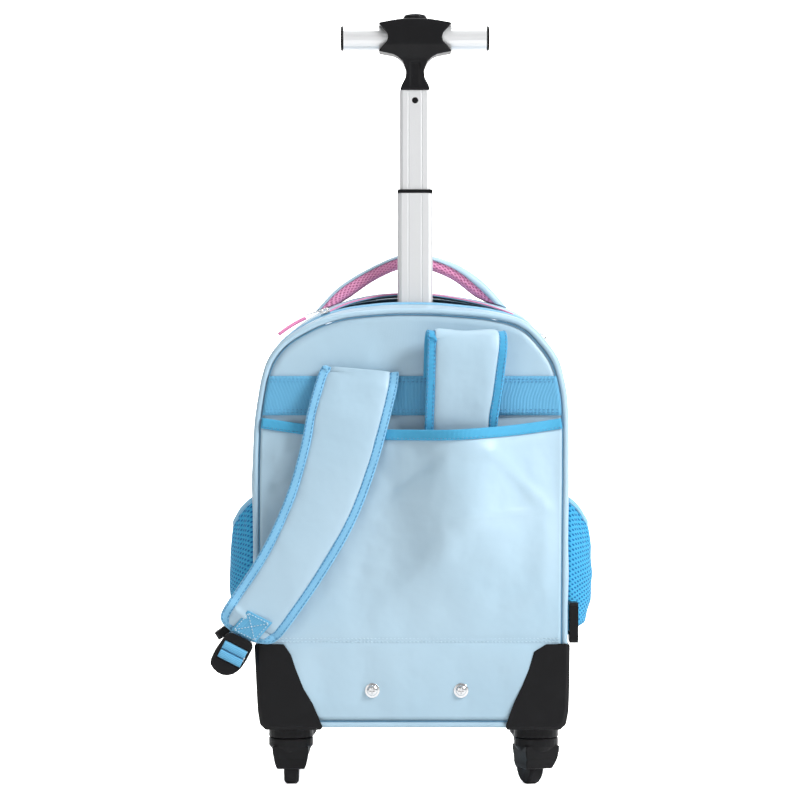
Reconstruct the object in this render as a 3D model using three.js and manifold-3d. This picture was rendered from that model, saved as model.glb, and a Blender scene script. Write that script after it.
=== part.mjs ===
// A wheeled backpack: a soft bag on four swivel casters, with a telescopic mast and shoulder straps.
// Millimetres, Z up. The strap side looks along -Y. Inside the bag group, x = 0 is the middle of the bag,
// y = 0 is the plane of the back seam and z = 0 is the floor. The whole bag is centred over the origin at the end.
import * as THREE from 'three';
import { mergeVertices } from 'three/addons/utils/BufferGeometryUtils.js';
import Module from 'manifold-3d';

const wasm = await Module();
wasm.setup();

const GAP = 0.4; // between pieces that touch in the real object

// Bag
const BAG_HALF_WIDTH = 165;
const BAG_HEIGHT = 438;
const BAG_BOTTOM = 64;
const CLOTH = 1.6;
const PIPING_RADIUS = 3;
const BACK_PIPING_Y = 1;
const FRONT_PIPING_Y = 173.4;
const CROWN_RISE = 18; // how far the top domes up in front of the back seam
const CROWN_DEPTH = 80; // where the dome of the top is full
const CROWN_FALL = 8; // what the dome has lost again at the front seam
const CROWN_SPREAD = 1.1; // 1 / the share of the half width at which the dome ends
const BACK_DOME = 4;
const FRONT_DOME = 18;
const SLOT_ZIP_Y = 20.3; // where the back gusset ends and the open zip starts
const SLOT_WIDTH = 24.5; // widest gap of the open zip
const SLOT_ROWS = 4; // outline rows from the top middle to an end of the opening
const SLOT_ZIP_ROWS = 9;
const SLOT_TAPE = 4.7;
const MAIN_ZIP_Y = 108;
const MAIN_ZIP_WIDTH = 9.7;
const MAIN_ZIP_ROWS = 11;
const COIL_RISE = 1.6;
const SLIDER = { length: 11, width: 8, height: 4, tongue: 14, tongueWidth: 4, tongueThick: 1.6 };
const PULL_RADIUS = 1.9;
const PULL_REACH = { across: -28, along: -9, down: -17.5 };
const PULL_SIDES = 8;

// Straps, band and stow pocket
const BAND_TOP = 431;
const BAND_BOTTOM = 390;
const BAND_THICK = 1.7;
const STOW_BOTTOM = 87;
const STOW_TOP = 388;
const STOW_SAG = 13;
const STOW_BINDING = 11;
const BINDING_THICK = 3.6;
const STOW_PUFF = 6;
const STOW_FULL = { across: 54, spread: 55, depth: 32 }; // the bulge over the folded strap
const STOW_PUFF_START = 155;
const STOW_PUFF_RISE = 175;
const STOW_EDGE = 40; // how far in from the side the bulge is full
const STRAP_THICK = 9;
const STRAP_EDGE = 0.7; // thickness at a strap's long edges as a share of its middle's
const LEFT_STRAP_WIDTH = 85;
const LEFT_STRAP_LIFT = 19;
const STRAP_RIM_WIDTH = 9.7;
const STRAP_RIM_THICK = 6;
const RIGHT_STRAP_WIDTH = 80;
const FOLD_DEPTH = 28; // how far the folded strap stands off the seam plane
const WEBBING_THICK = 1.3;
const WEBBING_WIDTH = 25;
const PATCH = { width: 28.6, near: 0.8, length: 27, nearShift: 1.4, farShift: 7.9 }; // sewn above the ladder lock
const LOCK = { outward: 12.7, drop: 19.4, proud: 7.5, turn: 27, half: 15.5, thick: 5, slotHalf: 13.1 };
const CLIP = { bottom: 152, length: 42, y: 2.5, depth: 29, thick: 9, slot: 3.4, rim: 3, lean: 56.5 };
const CLIP_SLOTS = [0.19, 0.52]; // where the slots start, as shares of the clip's length
const TAB = { thick: 1.5, rise: 13 };

// Carry handle
const HANDLE_HALF_SPAN = 104;
const HANDLE_BASE = 495;
const HANDLE_RISE = 66;
const HANDLE_Y = 56;
const HANDLE_DEPTH = 32;

// Side pockets
const POCKET_BACK = 34;
const POCKET_FRONT = 104;
const POCKET_BOTTOM = 158;
const POCKET_TOP = 299;
const POCKET_SAG = 27;
const POCKET_PUFF = 28;
const HEM_RADIUS = 2.2;

// Corner guards, casters and rivets
const GUARD_WALL = 2;
const GUARD_FACE = 3.4; // how far the guard's face stands off the seam plane
const GUARD_DEPTH = 58;
const GUARD_END_ROWS = 20; // outline rows from the top middle to the guard's lower end
const SOCKET = { radius: 23.4, height: 12.4, sides: 24 };
const CASTER_X = 129;
const CASTER_MID_X = 3;
const CASTER_Y = 28;
const CASTER_TRAIL = 16;
const RIGHT_CASTER_TURN = 21;
const NECK = { radius: 23.4, height: 8, lowRadius: 19, taper: 5.6 };
const HOOD = { midHalf: 18, midDrop: 6, lowHalf: 16.3, tipHalf: 14.3, mouth: 18.7, tip: 5.6, lean: 10 };
const WHEEL = { radius: 21, halfWidth: 7.6, shoulder: 2.4, sides: 20, sideGap: 3.2, gap: 1.2 };
const AXLE_RADIUS = 3;
const RIVET = { up: 103, left: -40.2, right: 52.4, washer: 7.8, washerHeight: 1.2, head: 5.6, headHeight: 3 };
const CROSS = { length: 6.4, width: 1.2, depth: 1.4 };

// Mast and grip
const MAST_X = 4.6;
const MAST_Y = 36.5;
const MIDDLE_TUBE = { halfX: 18.5, halfY: 9.5, wall: 1.4, bottom: 240, top: 624 };
const INNER_TUBE = { halfX: 16.1, halfY: 7.3, wall: 1.2, bottom: 400, top: 732.8 };
const COLLAR_HEIGHT = 3.6;
const SLEEVE = { wall: 1.5, clearance: 0.6, top: 486, footHeight: 4, footSpread: 14 };
const FLUTE = { across: 7, half: 0.8, depth: 0.6 };
const PIN = { drop: 10.8, radius: 3.4, length: 2.2, sides: 12 }; // drop: below the inner tube's top
const BAR = { radius: 13.2, halfLength: 78.5, wall: 1.6, rise: 54.8, sides: 24 }; // rise: above the hub's foot
const BAR_CAP = 2.6;
const HUB = { half: 38.8, wall: 1.6, crown: 5.2, notch: 10.3, depthWall: 4.8 }; // beyond the bar's radius
const HUB_NECK = { half: 9.5, waist: 0.6, inset: 0.3, halfDepth: 9 }; // waist: share of the neck's height
const PLUG = { clearance: 1.9, length: 18 };
const BUTTON = { radius: 13, proud: 5.8, sunk: 0.3, travel: 3.5 };

// The bag's outline from the strap side: rows from the top middle down to the bottom middle.
// up is a share of BAG_HEIGHT, right and left are shares of BAG_HALF_WIDTH.
const OUTLINE = [
  { up: 1.0, right: 0, left: 0 },
  { up: 0.999, right: 0.15, left: 0.15 },
  { up: 0.995, right: 0.31, left: 0.29 },
  { up: 0.989, right: 0.49, left: 0.42 },
  { up: 0.977, right: 0.65, left: 0.54 },
  { up: 0.958, right: 0.755, left: 0.66 },
  { up: 0.926, right: 0.84, left: 0.8 },
  { up: 0.885, right: 0.92, left: 0.895 },
  { up: 0.84, right: 0.963, left: 0.94 },
  { up: 0.785, right: 0.99, left: 0.968 },
  { up: 0.71, right: 1.0, left: 0.993 },
  { up: 0.6, right: 1.0, left: 1.0 },
  { up: 0.45, right: 0.996, left: 0.998 },
  { up: 0.3, right: 0.993, left: 0.99 },
  { up: 0.2, right: 0.992, left: 0.976 },
  { up: 0.1, right: 0.989, left: 0.963 },
  { up: 0.045, right: 0.984, left: 0.955 },
  { up: 0.013, right: 0.968, left: 0.941 },
  { up: 0, right: 0.93, left: 0.905 },
  { up: 0, right: 0.72, left: 0.71 },
  { up: 0, right: 0.6, left: 0.56 },
  { up: 0, right: 0.3, left: 0.3 },
  { up: 0, right: 0, left: 0 },
];

// The free edge of a guard's face, from its top to its bottom end: shares of the bag's half width and height.
const GUARD_EDGE = {
  left: [
    { across: 0.802, up: 0.2 },
    { across: 0.756, up: 0.174 },
    { across: 0.726, up: 0.14 },
    { across: 0.677, up: 0.094 },
    { across: 0.621, up: 0.059 },
    { across: 0.581, up: 0.025 },
    { across: 0.56, up: 0 },
  ],
  right: [
    { across: 0.855, up: 0.2 },
    { across: 0.778, up: 0.182 },
    { across: 0.745, up: 0.14 },
    { across: 0.7, up: 0.098 },
    { across: 0.655, up: 0.064 },
    { across: 0.62, up: 0.03 },
    { across: 0.6, up: 0 },
  ],
};

// The hanging strap's middle line: across is a share of BAG_HALF_WIDTH, up a share of BAG_HEIGHT above BAG_BOTTOM,
// width and lift, how far it stands off its top end, are shares of LEFT_STRAP_WIDTH and LEFT_STRAP_LIFT.
const LEFT_STRAP = [
  { across: -0.319, up: 0.853, width: 0.947, lift: 0 },
  { across: -0.324, up: 0.8356, width: 0.971, lift: 0.079 },
  { across: -0.35, up: 0.8046, width: 1.0, lift: 0.289 },
  { across: -0.403, up: 0.7288, width: 1.006, lift: 0.632 },
  { across: -0.438, up: 0.6696, width: 0.976, lift: 0.763 },
  { across: -0.507, up: 0.5822, width: 0.938, lift: 0.842 },
  { across: -0.588, up: 0.5043, width: 0.901, lift: 0.947 },
  { across: -0.705, up: 0.4192, width: 0.841, lift: 1 },
  { across: -0.821, up: 0.3482, width: 0.812, lift: 0.947 },
  { across: -0.959, up: 0.274, width: 0.8, lift: 0.816 },
  { across: -1.003, up: 0.2534, width: 0.788, lift: 0.684 },
  { across: -1.03, up: 0.234, width: 0.741, lift: 0.553 },
];

// The folded strap from its sewn end over the fold and down into the stow pocket: across and up as above,
// off is a share of FOLD_DEPTH, width a share of RIGHT_STRAP_WIDTH.
const RIGHT_STRAP = [
  { across: 0.315, off: 0.286, up: 0.831, width: 0.98 },
  { across: 0.321, off: 0.321, up: 0.893, width: 0.99 },
  { across: 0.33, off: 0.411, up: 0.9224, width: 1.02 },
  { across: 0.345, off: 0.643, up: 0.935, width: 1.05 },
  { across: 0.356, off: 0.893, up: 0.9224, width: 1.05 },
  { across: 0.348, off: 1, up: 0.8767, width: 1.03 },
  { across: 0.333, off: 0.857, up: 0.8014, width: 0.99 },
  { across: 0.317, off: 0.679, up: 0.7352, width: 0.95 },
  { across: 0.309, off: 0.5, up: 0.653, width: 0.95 },
  { across: 0.303, off: 0.429, up: 0.5662, width: 0.95 },
];

// Stations of the carry handle: its outer and inner edge as shares of the half span and of the rise, and the share
// of its thickness that the smooth cover takes.
const HANDLE = [
  { outer: -0.97, outerUp: 0.083, inner: -0.72, innerUp: 0.223, cover: 0.16 },
  { outer: -0.74, outerUp: 0.46, inner: -0.62, innerUp: 0.31, cover: 0.16 },
  { outer: -0.45, outerUp: 0.75, inner: -0.37, innerUp: 0.58, cover: 0.17 },
  { outer: -0.14, outerUp: 0.97, inner: -0.12, innerUp: 0.76, cover: 0.18 },
  { outer: 0.04, outerUp: 1, inner: 0.04, innerUp: 0.77, cover: 0.2 },
  { outer: 0.21, outerUp: 0.97, inner: 0.19, innerUp: 0.75, cover: 0.25 },
  { outer: 0.49, outerUp: 0.82, inner: 0.43, innerUp: 0.59, cover: 0.36 },
  { outer: 0.75, outerUp: 0.54, inner: 0.64, innerUp: 0.34, cover: 0.46 },
  { outer: 0.98, outerUp: 0.143, inner: 0.74, innerUp: 0.263, cover: 0.5 },
];

// How far a side pocket stands out: up is a share of its height, puff a share of POCKET_PUFF.
const POCKET_PROFILE = [
  { up: 0, puff: 0.03 },
  { up: 0.1, puff: 0.72 },
  { up: 0.3, puff: 0.96 },
  { up: 0.55, puff: 1 },
  { up: 0.8, puff: 0.9 },
  { up: 1, puff: 0.78 },
];

// The ladder lock's outline, anticlockwise from its top left: shares of LOCK.half, along is its way up to the strap.
const LOCK_OUTLINE = [
  { across: -0.65, along: 0.97 },
  { across: -0.9, along: 0.85 },
  { across: -1.01, along: 0.61 },
  { across: -1.16, along: -0.47 },
  { across: -1.16, along: -0.89 },
  { across: -1.14, along: -1.21 },
  { across: -1.03, along: -1.53 },
  { across: -0.68, along: -1.74 },
  { across: -0.34, along: -1.84 },
  { across: 0.05, along: -1.82 },
  { across: 0.38, along: -1.7 },
  { across: 0.66, along: -1.45 },
  { across: 0.84, along: -1.14 },
  { across: 0.95, along: -0.85 },
  { across: 1.02, along: -0.23 },
  { across: 1.02, along: 0.68 },
  { across: 0.9, along: 0.88 },
  { across: 0.7, along: 1.0 },
];
// Its three slots, from the strap down, as shares of LOCK.half.
const LOCK_SLOTS = [
  { from: 0.16, to: 0.355 },
  { from: -0.484, to: -0.097 },
  { from: -0.903, to: -0.742 },
];

// The webbing in the ladder lock, as shares of LOCK.half: along as above, off is its distance from the middle plane
// towards the bag. The strap's own loop goes over the upper bar, the adjusting webbing over the lower one.
const LOCK_LOOP = [
  { along: 0.97, off: 0.242 },
  { along: 0.8, off: 0.242 },
  { along: 0.38, off: 0.242 },
  { along: 0.275, off: 0.16 },
  { along: 0.268, off: -0.148 },
  { along: 0.168, off: -0.258 },
  { along: -0.077, off: -0.258 },
  { along: -0.187, off: -0.148 },
  { along: -0.206, off: 0.1 },
  { along: -0.21, off: 0.26 },
];
const LOCK_PASS = [
  { along: -0.36, off: 0.33 },
  { along: -0.37, off: 0.1 },
  { along: -0.397, off: -0.148 },
  { along: -0.497, off: -0.265 },
  { along: -0.723, off: -0.265 },
  { along: -0.819, off: -0.148 },
  { along: -0.826, off: 0.1 },
  { along: -0.832, off: 0.206 },
  { along: -0.94, off: 0.32 },
];
// From the lock's back to the clip: shares of the way in each direction, and how the webbing's width turns.
const ADJUSTER = [
  { x: 0.1, y: 0.4, z: 0.05, width: [0.65, 0.5, -0.35] },
  { x: 0.15, y: 0.95, z: 0.35, width: [0.15, 1, 0] },
  { x: 1, y: 1, z: 1, width: [0, 1, 0] },
];

const COLOURS = {
  cloth: 0xb8d8e8,
  trim: 0x6ab4e4,
  mesh: 0x2a92dc,
  pink: 0xe77fb8,
  black: 0x1c1c1c,
  metal: 0xc4c7ca,
  tyre: 0x2a2a2c,
};

const bag = new THREE.Group();
bag.name = 'wheeled_backpack';

function addPiece(name, geometry, colour, roughness, metalness = 0) {
  const material = new THREE.MeshStandardMaterial({ color: colour, roughness, metalness });
  const mesh = new THREE.Mesh(geometry, material);
  mesh.name = name;
  bag.add(mesh);
}

const cloth = (name, geometry) => addPiece(name, geometry, COLOURS.cloth, 0.5);
const trim = (name, geometry) => addPiece(name, geometry, COLOURS.trim, 0.75);
const plastic = (name, geometry) => addPiece(name, geometry, COLOURS.black, 0.4);
const metal = (name, geometry) => addPiece(name, geometry, COLOURS.metal, 0.3, 1);

const point = (x, y, z) => new THREE.Vector3(x, y, z);
const mix = (a, b, share) => a + (b - a) * share;

function smooth(value) {
  const share = Math.min(Math.max(value, 0), 1);
  return share * share * (3 - 2 * share);
}

function body(points, faces) {
  // A closed body from its corners and faces, turned so that the faces look outwards.
  const volume = faces.reduce(
    (sum, [a, b, c]) => sum + points[a].dot(new THREE.Vector3().crossVectors(points[b], points[c])),
    0,
  );
  const turned = volume < 0 ? faces.map(([a, b, c]) => [a, c, b]) : faces;
  const geometry = new THREE.BufferGeometry();
  geometry.setAttribute('position', new THREE.Float32BufferAttribute(points.flatMap((p) => p.toArray()), 3));
  geometry.setIndex(turned.flat());
  geometry.computeVertexNormals();
  return geometry;
}

function wall(outer, inner, ring = false) {
  // A sheet with thickness between two grids of points. With ring, its last row joins its first.
  const rows = outer.length;
  const last = outer[0].length - 1;
  const faces = [];
  const out = (i, j) => (i % rows) * (last + 1) + j;
  const back = (i, j) => rows * (last + 1) + out(i, j);
  const quad = (a, b, c, d) => faces.push([a, b, c], [a, c, d]);
  const steps = ring ? rows : rows - 1;
  for (let i = 0; i < steps; i += 1) {
    for (let j = 0; j < last; j += 1) {
      quad(out(i, j), out(i + 1, j), out(i + 1, j + 1), out(i, j + 1));
      quad(back(i, j), back(i, j + 1), back(i + 1, j + 1), back(i + 1, j));
    }
    quad(out(i, 0), back(i, 0), back(i + 1, 0), out(i + 1, 0));
    quad(out(i, last), out(i + 1, last), back(i + 1, last), back(i, last));
  }
  if (!ring) {
    for (let j = 0; j < last; j += 1) {
      quad(out(0, j), out(0, j + 1), back(0, j + 1), back(0, j));
      quad(out(steps, j), back(steps, j), back(steps, j + 1), out(steps, j + 1));
    }
  }
  return body([...outer.flat(), ...inner.flat()], faces);
}

function tube(sections, ring = false) {
  // A solid through a row of sections. With ring, the last section joins the first.
  const count = sections[0].length;
  const points = sections.flat();
  const faces = [];
  const steps = ring ? sections.length : sections.length - 1;
  const at = (i, j) => (i % sections.length) * count + (j % count);
  for (let i = 0; i < steps; i += 1) {
    for (let j = 0; j < count; j += 1) {
      faces.push([at(i, j), at(i + 1, j), at(i + 1, j + 1)], [at(i, j), at(i + 1, j + 1), at(i, j + 1)]);
    }
  }
  if (!ring) {
    for (let j = 1; j < count - 1; j += 1) {
      faces.push([at(0, 0), at(0, j), at(0, j + 1)], [at(steps, 0), at(steps, j + 1), at(steps, j)]);
    }
  }
  return body(points, faces);
}

function roundSection(centre, ahead, radius, sides, reference) {
  // Points of a round section at right angles to the way ahead.
  const u = new THREE.Vector3().crossVectors(ahead, reference).normalize();
  const v = new THREE.Vector3().crossVectors(u, ahead).normalize();
  return Array.from({ length: sides }, (_, k) => {
    const angle = (2 * Math.PI * k) / sides;
    return centre.clone().addScaledVector(u, radius * Math.cos(angle)).addScaledVector(v, radius * Math.sin(angle));
  });
}

function roundTube(path, radius, sides, reference, ring = false) {
  const count = path.length;
  const sections = path.map((centre, i) => {
    const before = path[ring ? (i + count - 1) % count : Math.max(i - 1, 0)];
    const after = path[ring ? (i + 1) % count : Math.min(i + 1, count - 1)];
    return roundSection(centre, after.clone().sub(before).normalize(), radius, sides, reference);
  });
  return tube(sections, ring);
}

function toSolid(geometry) {
  const bare = geometry.clone();
  bare.deleteAttribute('normal');
  bare.deleteAttribute('uv');
  const merged = mergeVertices(bare);
  return new wasm.Manifold(
    new wasm.Mesh({
      numProp: 3,
      vertProperties: new Float32Array(merged.attributes.position.array),
      triVerts: new Uint32Array(merged.index.array),
    }),
  );
}

function fromSolid(solid) {
  const mesh = solid.getMesh();
  const geometry = new THREE.BufferGeometry();
  geometry.setAttribute('position', new THREE.Float32BufferAttribute(mesh.vertProperties, 3));
  geometry.setIndex(Array.from(mesh.triVerts));
  geometry.computeVertexNormals();
  return geometry;
}

function plate(outline, y, depth, holes = []) {
  // An outline seen from the strap side, pairs of across and up, from y on backwards by depth.
  const shape = new THREE.Shape(outline.map(([across, up]) => new THREE.Vector2(across, up)));
  holes.forEach((hole) => shape.holes.push(new THREE.Path(hole.map(([across, up]) => new THREE.Vector2(across, up)))));
  const geometry = new THREE.ExtrudeGeometry(shape, { depth, bevelEnabled: false });
  return geometry.rotateX(Math.PI / 2).translate(0, y + depth, 0);
}

function sidePlate(outline, x, width, holes = []) {
  // An outline seen from the side, pairs of y and up, from x on to the right by width.
  const shape = new THREE.Shape(outline.map(([along, up]) => new THREE.Vector2(along, up)));
  holes.forEach((hole) => shape.holes.push(new THREE.Path(hole.map(([along, up]) => new THREE.Vector2(along, up)))));
  const geometry = new THREE.ExtrudeGeometry(shape, { depth: width, bevelEnabled: false });
  const turn = new THREE.Matrix4().makeBasis(point(0, 1, 0), point(0, 0, 1), point(1, 0, 0));
  return geometry.applyMatrix4(turn).translate(x, 0, 0);
}

function turned(profile, sides) {
  // A round piece about the upright axis through the origin.
  const geometry = new THREE.LatheGeometry(profile.map(([radius, up]) => new THREE.Vector2(radius, up)), sides);
  return geometry.rotateX(Math.PI / 2);
}

const block = (x0, x1, y0, y1, z0, z1) =>
  new THREE.BoxGeometry(x1 - x0, y1 - y0, z1 - z0).translate((x0 + x1) / 2, (y0 + y1) / 2, (z0 + z1) / 2);

// The outline as a closed ring: row 0 is the top middle, positive rows go down the right side, negative the left.
const LAST_ROW = OUTLINE.length - 1;
const RING_ROWS = Array.from({ length: 2 * LAST_ROW }, (_, k) => (k <= LAST_ROW ? k : k - 2 * LAST_ROW));

function outlineAt(row) {
  const entry = OUTLINE[Math.abs(row)];
  return { across: row >= 0 ? entry.right : -entry.left, up: entry.up };
}

function crownAt(across, up, y) {
  const rise = CROWN_RISE * Math.sin((Math.PI / 2) * smooth(y / CROWN_DEPTH));
  const fall = CROWN_FALL * smooth((y - CROWN_DEPTH) / (FRONT_PIPING_Y - CROWN_DEPTH));
  const spread = Math.max(0, 1 - (across * CROWN_SPREAD) ** 2);
  return up > 0.5 ? (rise - fall) * spread : 0;
}

function ringPoint(row, inset, y) {
  const { across, up } = outlineAt(row);
  const middle = BAG_BOTTOM + BAG_HEIGHT / 2;
  const z = middle + (up - 0.5) * (BAG_HEIGHT - 2 * inset) + crownAt(across, up, y);
  return point(across * (BAG_HALF_WIDTH - inset), y, z);
}

function sideAt(up, side) {
  // Half width of the bag's outline at a height, below its shoulders.
  const share = (up - BAG_BOTTOM) / BAG_HEIGHT;
  const column = side > 0 ? 'right' : 'left';
  const row = OUTLINE.findIndex((entry, k) => k < LAST_ROW && entry.up >= share && OUTLINE[k + 1].up <= share);
  const above = OUTLINE[row];
  const below = OUTLINE[row + 1];
  return BAG_HALF_WIDTH * mix(below[column], above[column], (share - below.up) / (above.up - below.up));
}

function domeShare(x, z) {
  const across = 1 - (x / BAG_HALF_WIDTH) ** 2;
  const up = 1 - ((z - BAG_BOTTOM) / (BAG_HEIGHT / 2) - 1) ** 2;
  return (Math.max(across, 0) * Math.max(up, 0)) ** 2;
}

const backFace = (x, z) => -BACK_DOME * domeShare(x, z);

function panel(y, inset, faceAt, thickness, rings) {
  // A panel inside the piping: rings of the outline shrunk towards the middle, on both faces.
  const count = RING_ROWS.length;
  const middle = point(0, 0, BAG_BOTTOM + BAG_HEIGHT / 2);
  const face = (offset) => {
    const lay = (p) => point(p.x, y + faceAt(p.x, p.z) + offset, p.z);
    const shrunk = rings.map((share) =>
      RING_ROWS.map((row) => lay(middle.clone().lerp(ringPoint(row, inset, y), share))),
    );
    return [...shrunk.flat(), lay(middle)];
  };
  const front = face(0);
  const back = face(thickness);
  const size = front.length;
  const faces = [];
  for (let k = 0; k < count; k += 1) {
    const next = (k + 1) % count;
    rings.slice(1).forEach((_, r) => {
      const [a, b, c, d] = [r * count + k, r * count + next, (r + 1) * count + next, (r + 1) * count + k];
      faces.push([a, b, c], [a, c, d], [size + a, size + c, size + b], [size + a, size + d, size + c]);
    });
    const inner = (rings.length - 1) * count;
    faces.push([inner + k, inner + next, size - 1], [size + inner + k, 2 * size - 1, size + inner + next]);
    faces.push([k, size + k, size + next], [k, size + next, next]);
  }
  return body([...front, ...back], faces);
}

function gusset(rows, startAt, endAt, insets, thickness = CLOTH) {
  // A strip round the bag. insets are shares of its width with the inset of the cloth there.
  const ring = rows.length === RING_ROWS.length;
  const grid = (extra) =>
    rows.map((row) =>
      insets.map(({ share, inset }) => ringPoint(row, inset + extra, mix(startAt(row), endAt(row), share))),
    );
  return wall(grid(0), grid(thickness), ring);
}

const rowRange = (from, to) => Array.from({ length: to - from + 1 }, (_, k) => from + k);

function slotEdge(row) {
  // The front lip of the open zip: apart from the back lip round the mast, together beyond the slider.
  const share = Math.min(Math.abs(row) / SLOT_ROWS, 1);
  return SLOT_ZIP_Y + SLOT_TAPE + GAP + SLOT_WIDTH * (1 - share * share);
}

function mainStart(row) {
  return Math.abs(row) <= SLOT_ZIP_ROWS ? slotEdge(row) + SLOT_TAPE + GAP : SLOT_ZIP_Y;
}

function frontStart(row) {
  return Math.abs(row) <= MAIN_ZIP_ROWS ? MAIN_ZIP_Y + MAIN_ZIP_WIDTH + 2 * GAP : MAIN_ZIP_Y + GAP;
}

function addBagShell() {
  const seamInset = 2 * PIPING_RADIUS + GAP;
  const gussetStart = BACK_PIPING_Y + PIPING_RADIUS + GAP;
  const gussetEnd = FRONT_PIPING_Y - PIPING_RADIUS - GAP;
  const flat = [
    { share: 0, inset: 0 },
    { share: 1, inset: 0 },
  ];
  cloth('back_panel', panel(0, seamInset, backFace, CLOTH, [1, 0.6]));
  trim('back_piping', roundTube(
    RING_ROWS.map((row) => ringPoint(row, PIPING_RADIUS, BACK_PIPING_Y)), PIPING_RADIUS, 5, point(0, 1, 0), true,
  ));
  cloth('back_gusset', gusset(RING_ROWS, () => gussetStart, () => SLOT_ZIP_Y - GAP, [
    { share: 0, inset: 2 },
    { share: 0.3, inset: 0.3 },
    { share: 1, inset: 0 },
  ]));
  cloth('main_gusset', gusset(RING_ROWS, mainStart, () => MAIN_ZIP_Y, [
    { share: 0, inset: 0 },
    { share: 0.5, inset: 0 },
    { share: 1, inset: 0 },
  ]));
  cloth('front_gusset', gusset(RING_ROWS, frontStart, () => gussetEnd, [
    { share: 0, inset: 0 },
    { share: 0.75, inset: 0.3 },
    { share: 1, inset: 2 },
  ]));
  trim('front_piping', roundTube(
    RING_ROWS.map((row) => ringPoint(row, PIPING_RADIUS, FRONT_PIPING_Y)), PIPING_RADIUS, 5, point(0, 1, 0), true,
  ));
  cloth('front_panel', panel(
    FRONT_PIPING_Y - CLOTH / 2, seamInset, (x, z) => FRONT_DOME * domeShare(x, z), CLOTH, [1, 0.8, 0.5],
  ));
  trim('slot_zip_back', gusset(
    rowRange(-SLOT_ZIP_ROWS, SLOT_ZIP_ROWS), () => SLOT_ZIP_Y, () => SLOT_ZIP_Y + SLOT_TAPE, flat,
  ));
  trim('slot_zip_front', gusset(
    rowRange(-SLOT_ZIP_ROWS, SLOT_ZIP_ROWS), slotEdge, (row) => slotEdge(row) + SLOT_TAPE, flat,
  ));
  trim('main_zip', gusset(
    rowRange(-MAIN_ZIP_ROWS, MAIN_ZIP_ROWS), () => MAIN_ZIP_Y + GAP, () => MAIN_ZIP_Y + GAP + MAIN_ZIP_WIDTH, [
      { share: 0, inset: 0 },
      { share: 0.5, inset: -COIL_RISE },
      { share: 1, inset: 0 },
    ],
  ));
}

function sliderOn(row, y, lift) {
  // Place and slope of a zip slider that lies on the zip at an outline row.
  const ahead = ringPoint(row + 1, 0, y).sub(ringPoint(row - 1, 0, y));
  const slope = Math.atan2(ahead.z, ahead.x);
  const up = point(-Math.sin(slope), 0, Math.cos(slope)).multiplyScalar(Math.sign(Math.cos(slope)));
  return { slope, centre: ringPoint(row, 0, y).addScaledVector(up, lift + SLIDER.height / 2) };
}

function addSliders() {
  const { length, width, height, tongue, tongueWidth, tongueThick } = SLIDER;
  const onto = (geometry, { slope, centre }) => geometry.rotateY(-slope).translate(centre.x, centre.y, centre.z);
  const slot = sliderOn(-SLOT_ROWS, SLOT_ZIP_Y + SLOT_TAPE, 3 * GAP);
  const shell = toSolid(new THREE.BoxGeometry(length, width, height));
  const tongueEnd = -length / 2 - tongue;
  const tab = toSolid(block(
    tongueEnd, 0, -tongueWidth / 2, tongueWidth / 2, height / 2 - tongueThick, height / 2,
  ));
  metal('slot_slider', onto(fromSolid(shell.add(tab)), slot));
  const main = sliderOn(SLOT_ROWS + 2, MAIN_ZIP_Y + GAP + MAIN_ZIP_WIDTH / 2, COIL_RISE + 2 * GAP);
  metal('main_slider', onto(fromSolid(shell), main));
  const reach = tongueEnd - GAP - PULL_RADIUS / 2;
  const start = slot.centre.clone().add(point(reach * Math.cos(slot.slope), 0, reach * Math.sin(slot.slope)));
  start.z += (height - tongueThick) / 2;
  const path = [0, 0.33, 0.67, 1].map((share) =>
    start.clone().add(point(
      PULL_REACH.across * share, PULL_REACH.along * share, PULL_REACH.down * share,
    )),
  );
  addPiece('zip_pull_cord', roundTube(path, PULL_RADIUS, PULL_SIDES, point(0, 1, 0)), COLOURS.pink, 0.8);
}

function stowTopAt(x) {
  const share = x / BAG_HALF_WIDTH;
  return STOW_TOP - STOW_SAG * (1 - share * share);
}

function stowFace(x, z) {
  // Outer face of the stow pocket, which bulges over the strap that is folded into it.
  const rise = smooth((z - STOW_PUFF_START) / STOW_PUFF_RISE);
  const plain = STOW_PUFF * (1 - (x / BAG_HALF_WIDTH) ** 2);
  const full = STOW_FULL.depth * Math.exp(-(((x - STOW_FULL.across) / STOW_FULL.spread) ** 2));
  const edge = smooth((BAG_HALF_WIDTH - Math.abs(x)) / STOW_EDGE);
  return backFace(x, z) - GAP - CLOTH - (plain + full) * rise * edge;
}

function acrossPanel(columns, heights, faceAt, thickness) {
  // A sheet that lies over the back between the pipings, at heights that may change across it.
  const inset = 2 * PIPING_RADIUS + 2 * GAP;
  const grid = (offset) =>
    columns.map((share) =>
      heights.map((height) => {
        const side = Math.sign(share) || 1;
        const rough = height(share * (BAG_HALF_WIDTH - inset));
        const x = share * (sideAt(rough, side) - inset);
        const z = height(x);
        return point(x, faceAt(x, z) + offset, z);
      }),
    );
  return wall(grid(0), grid(thickness));
}

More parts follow.
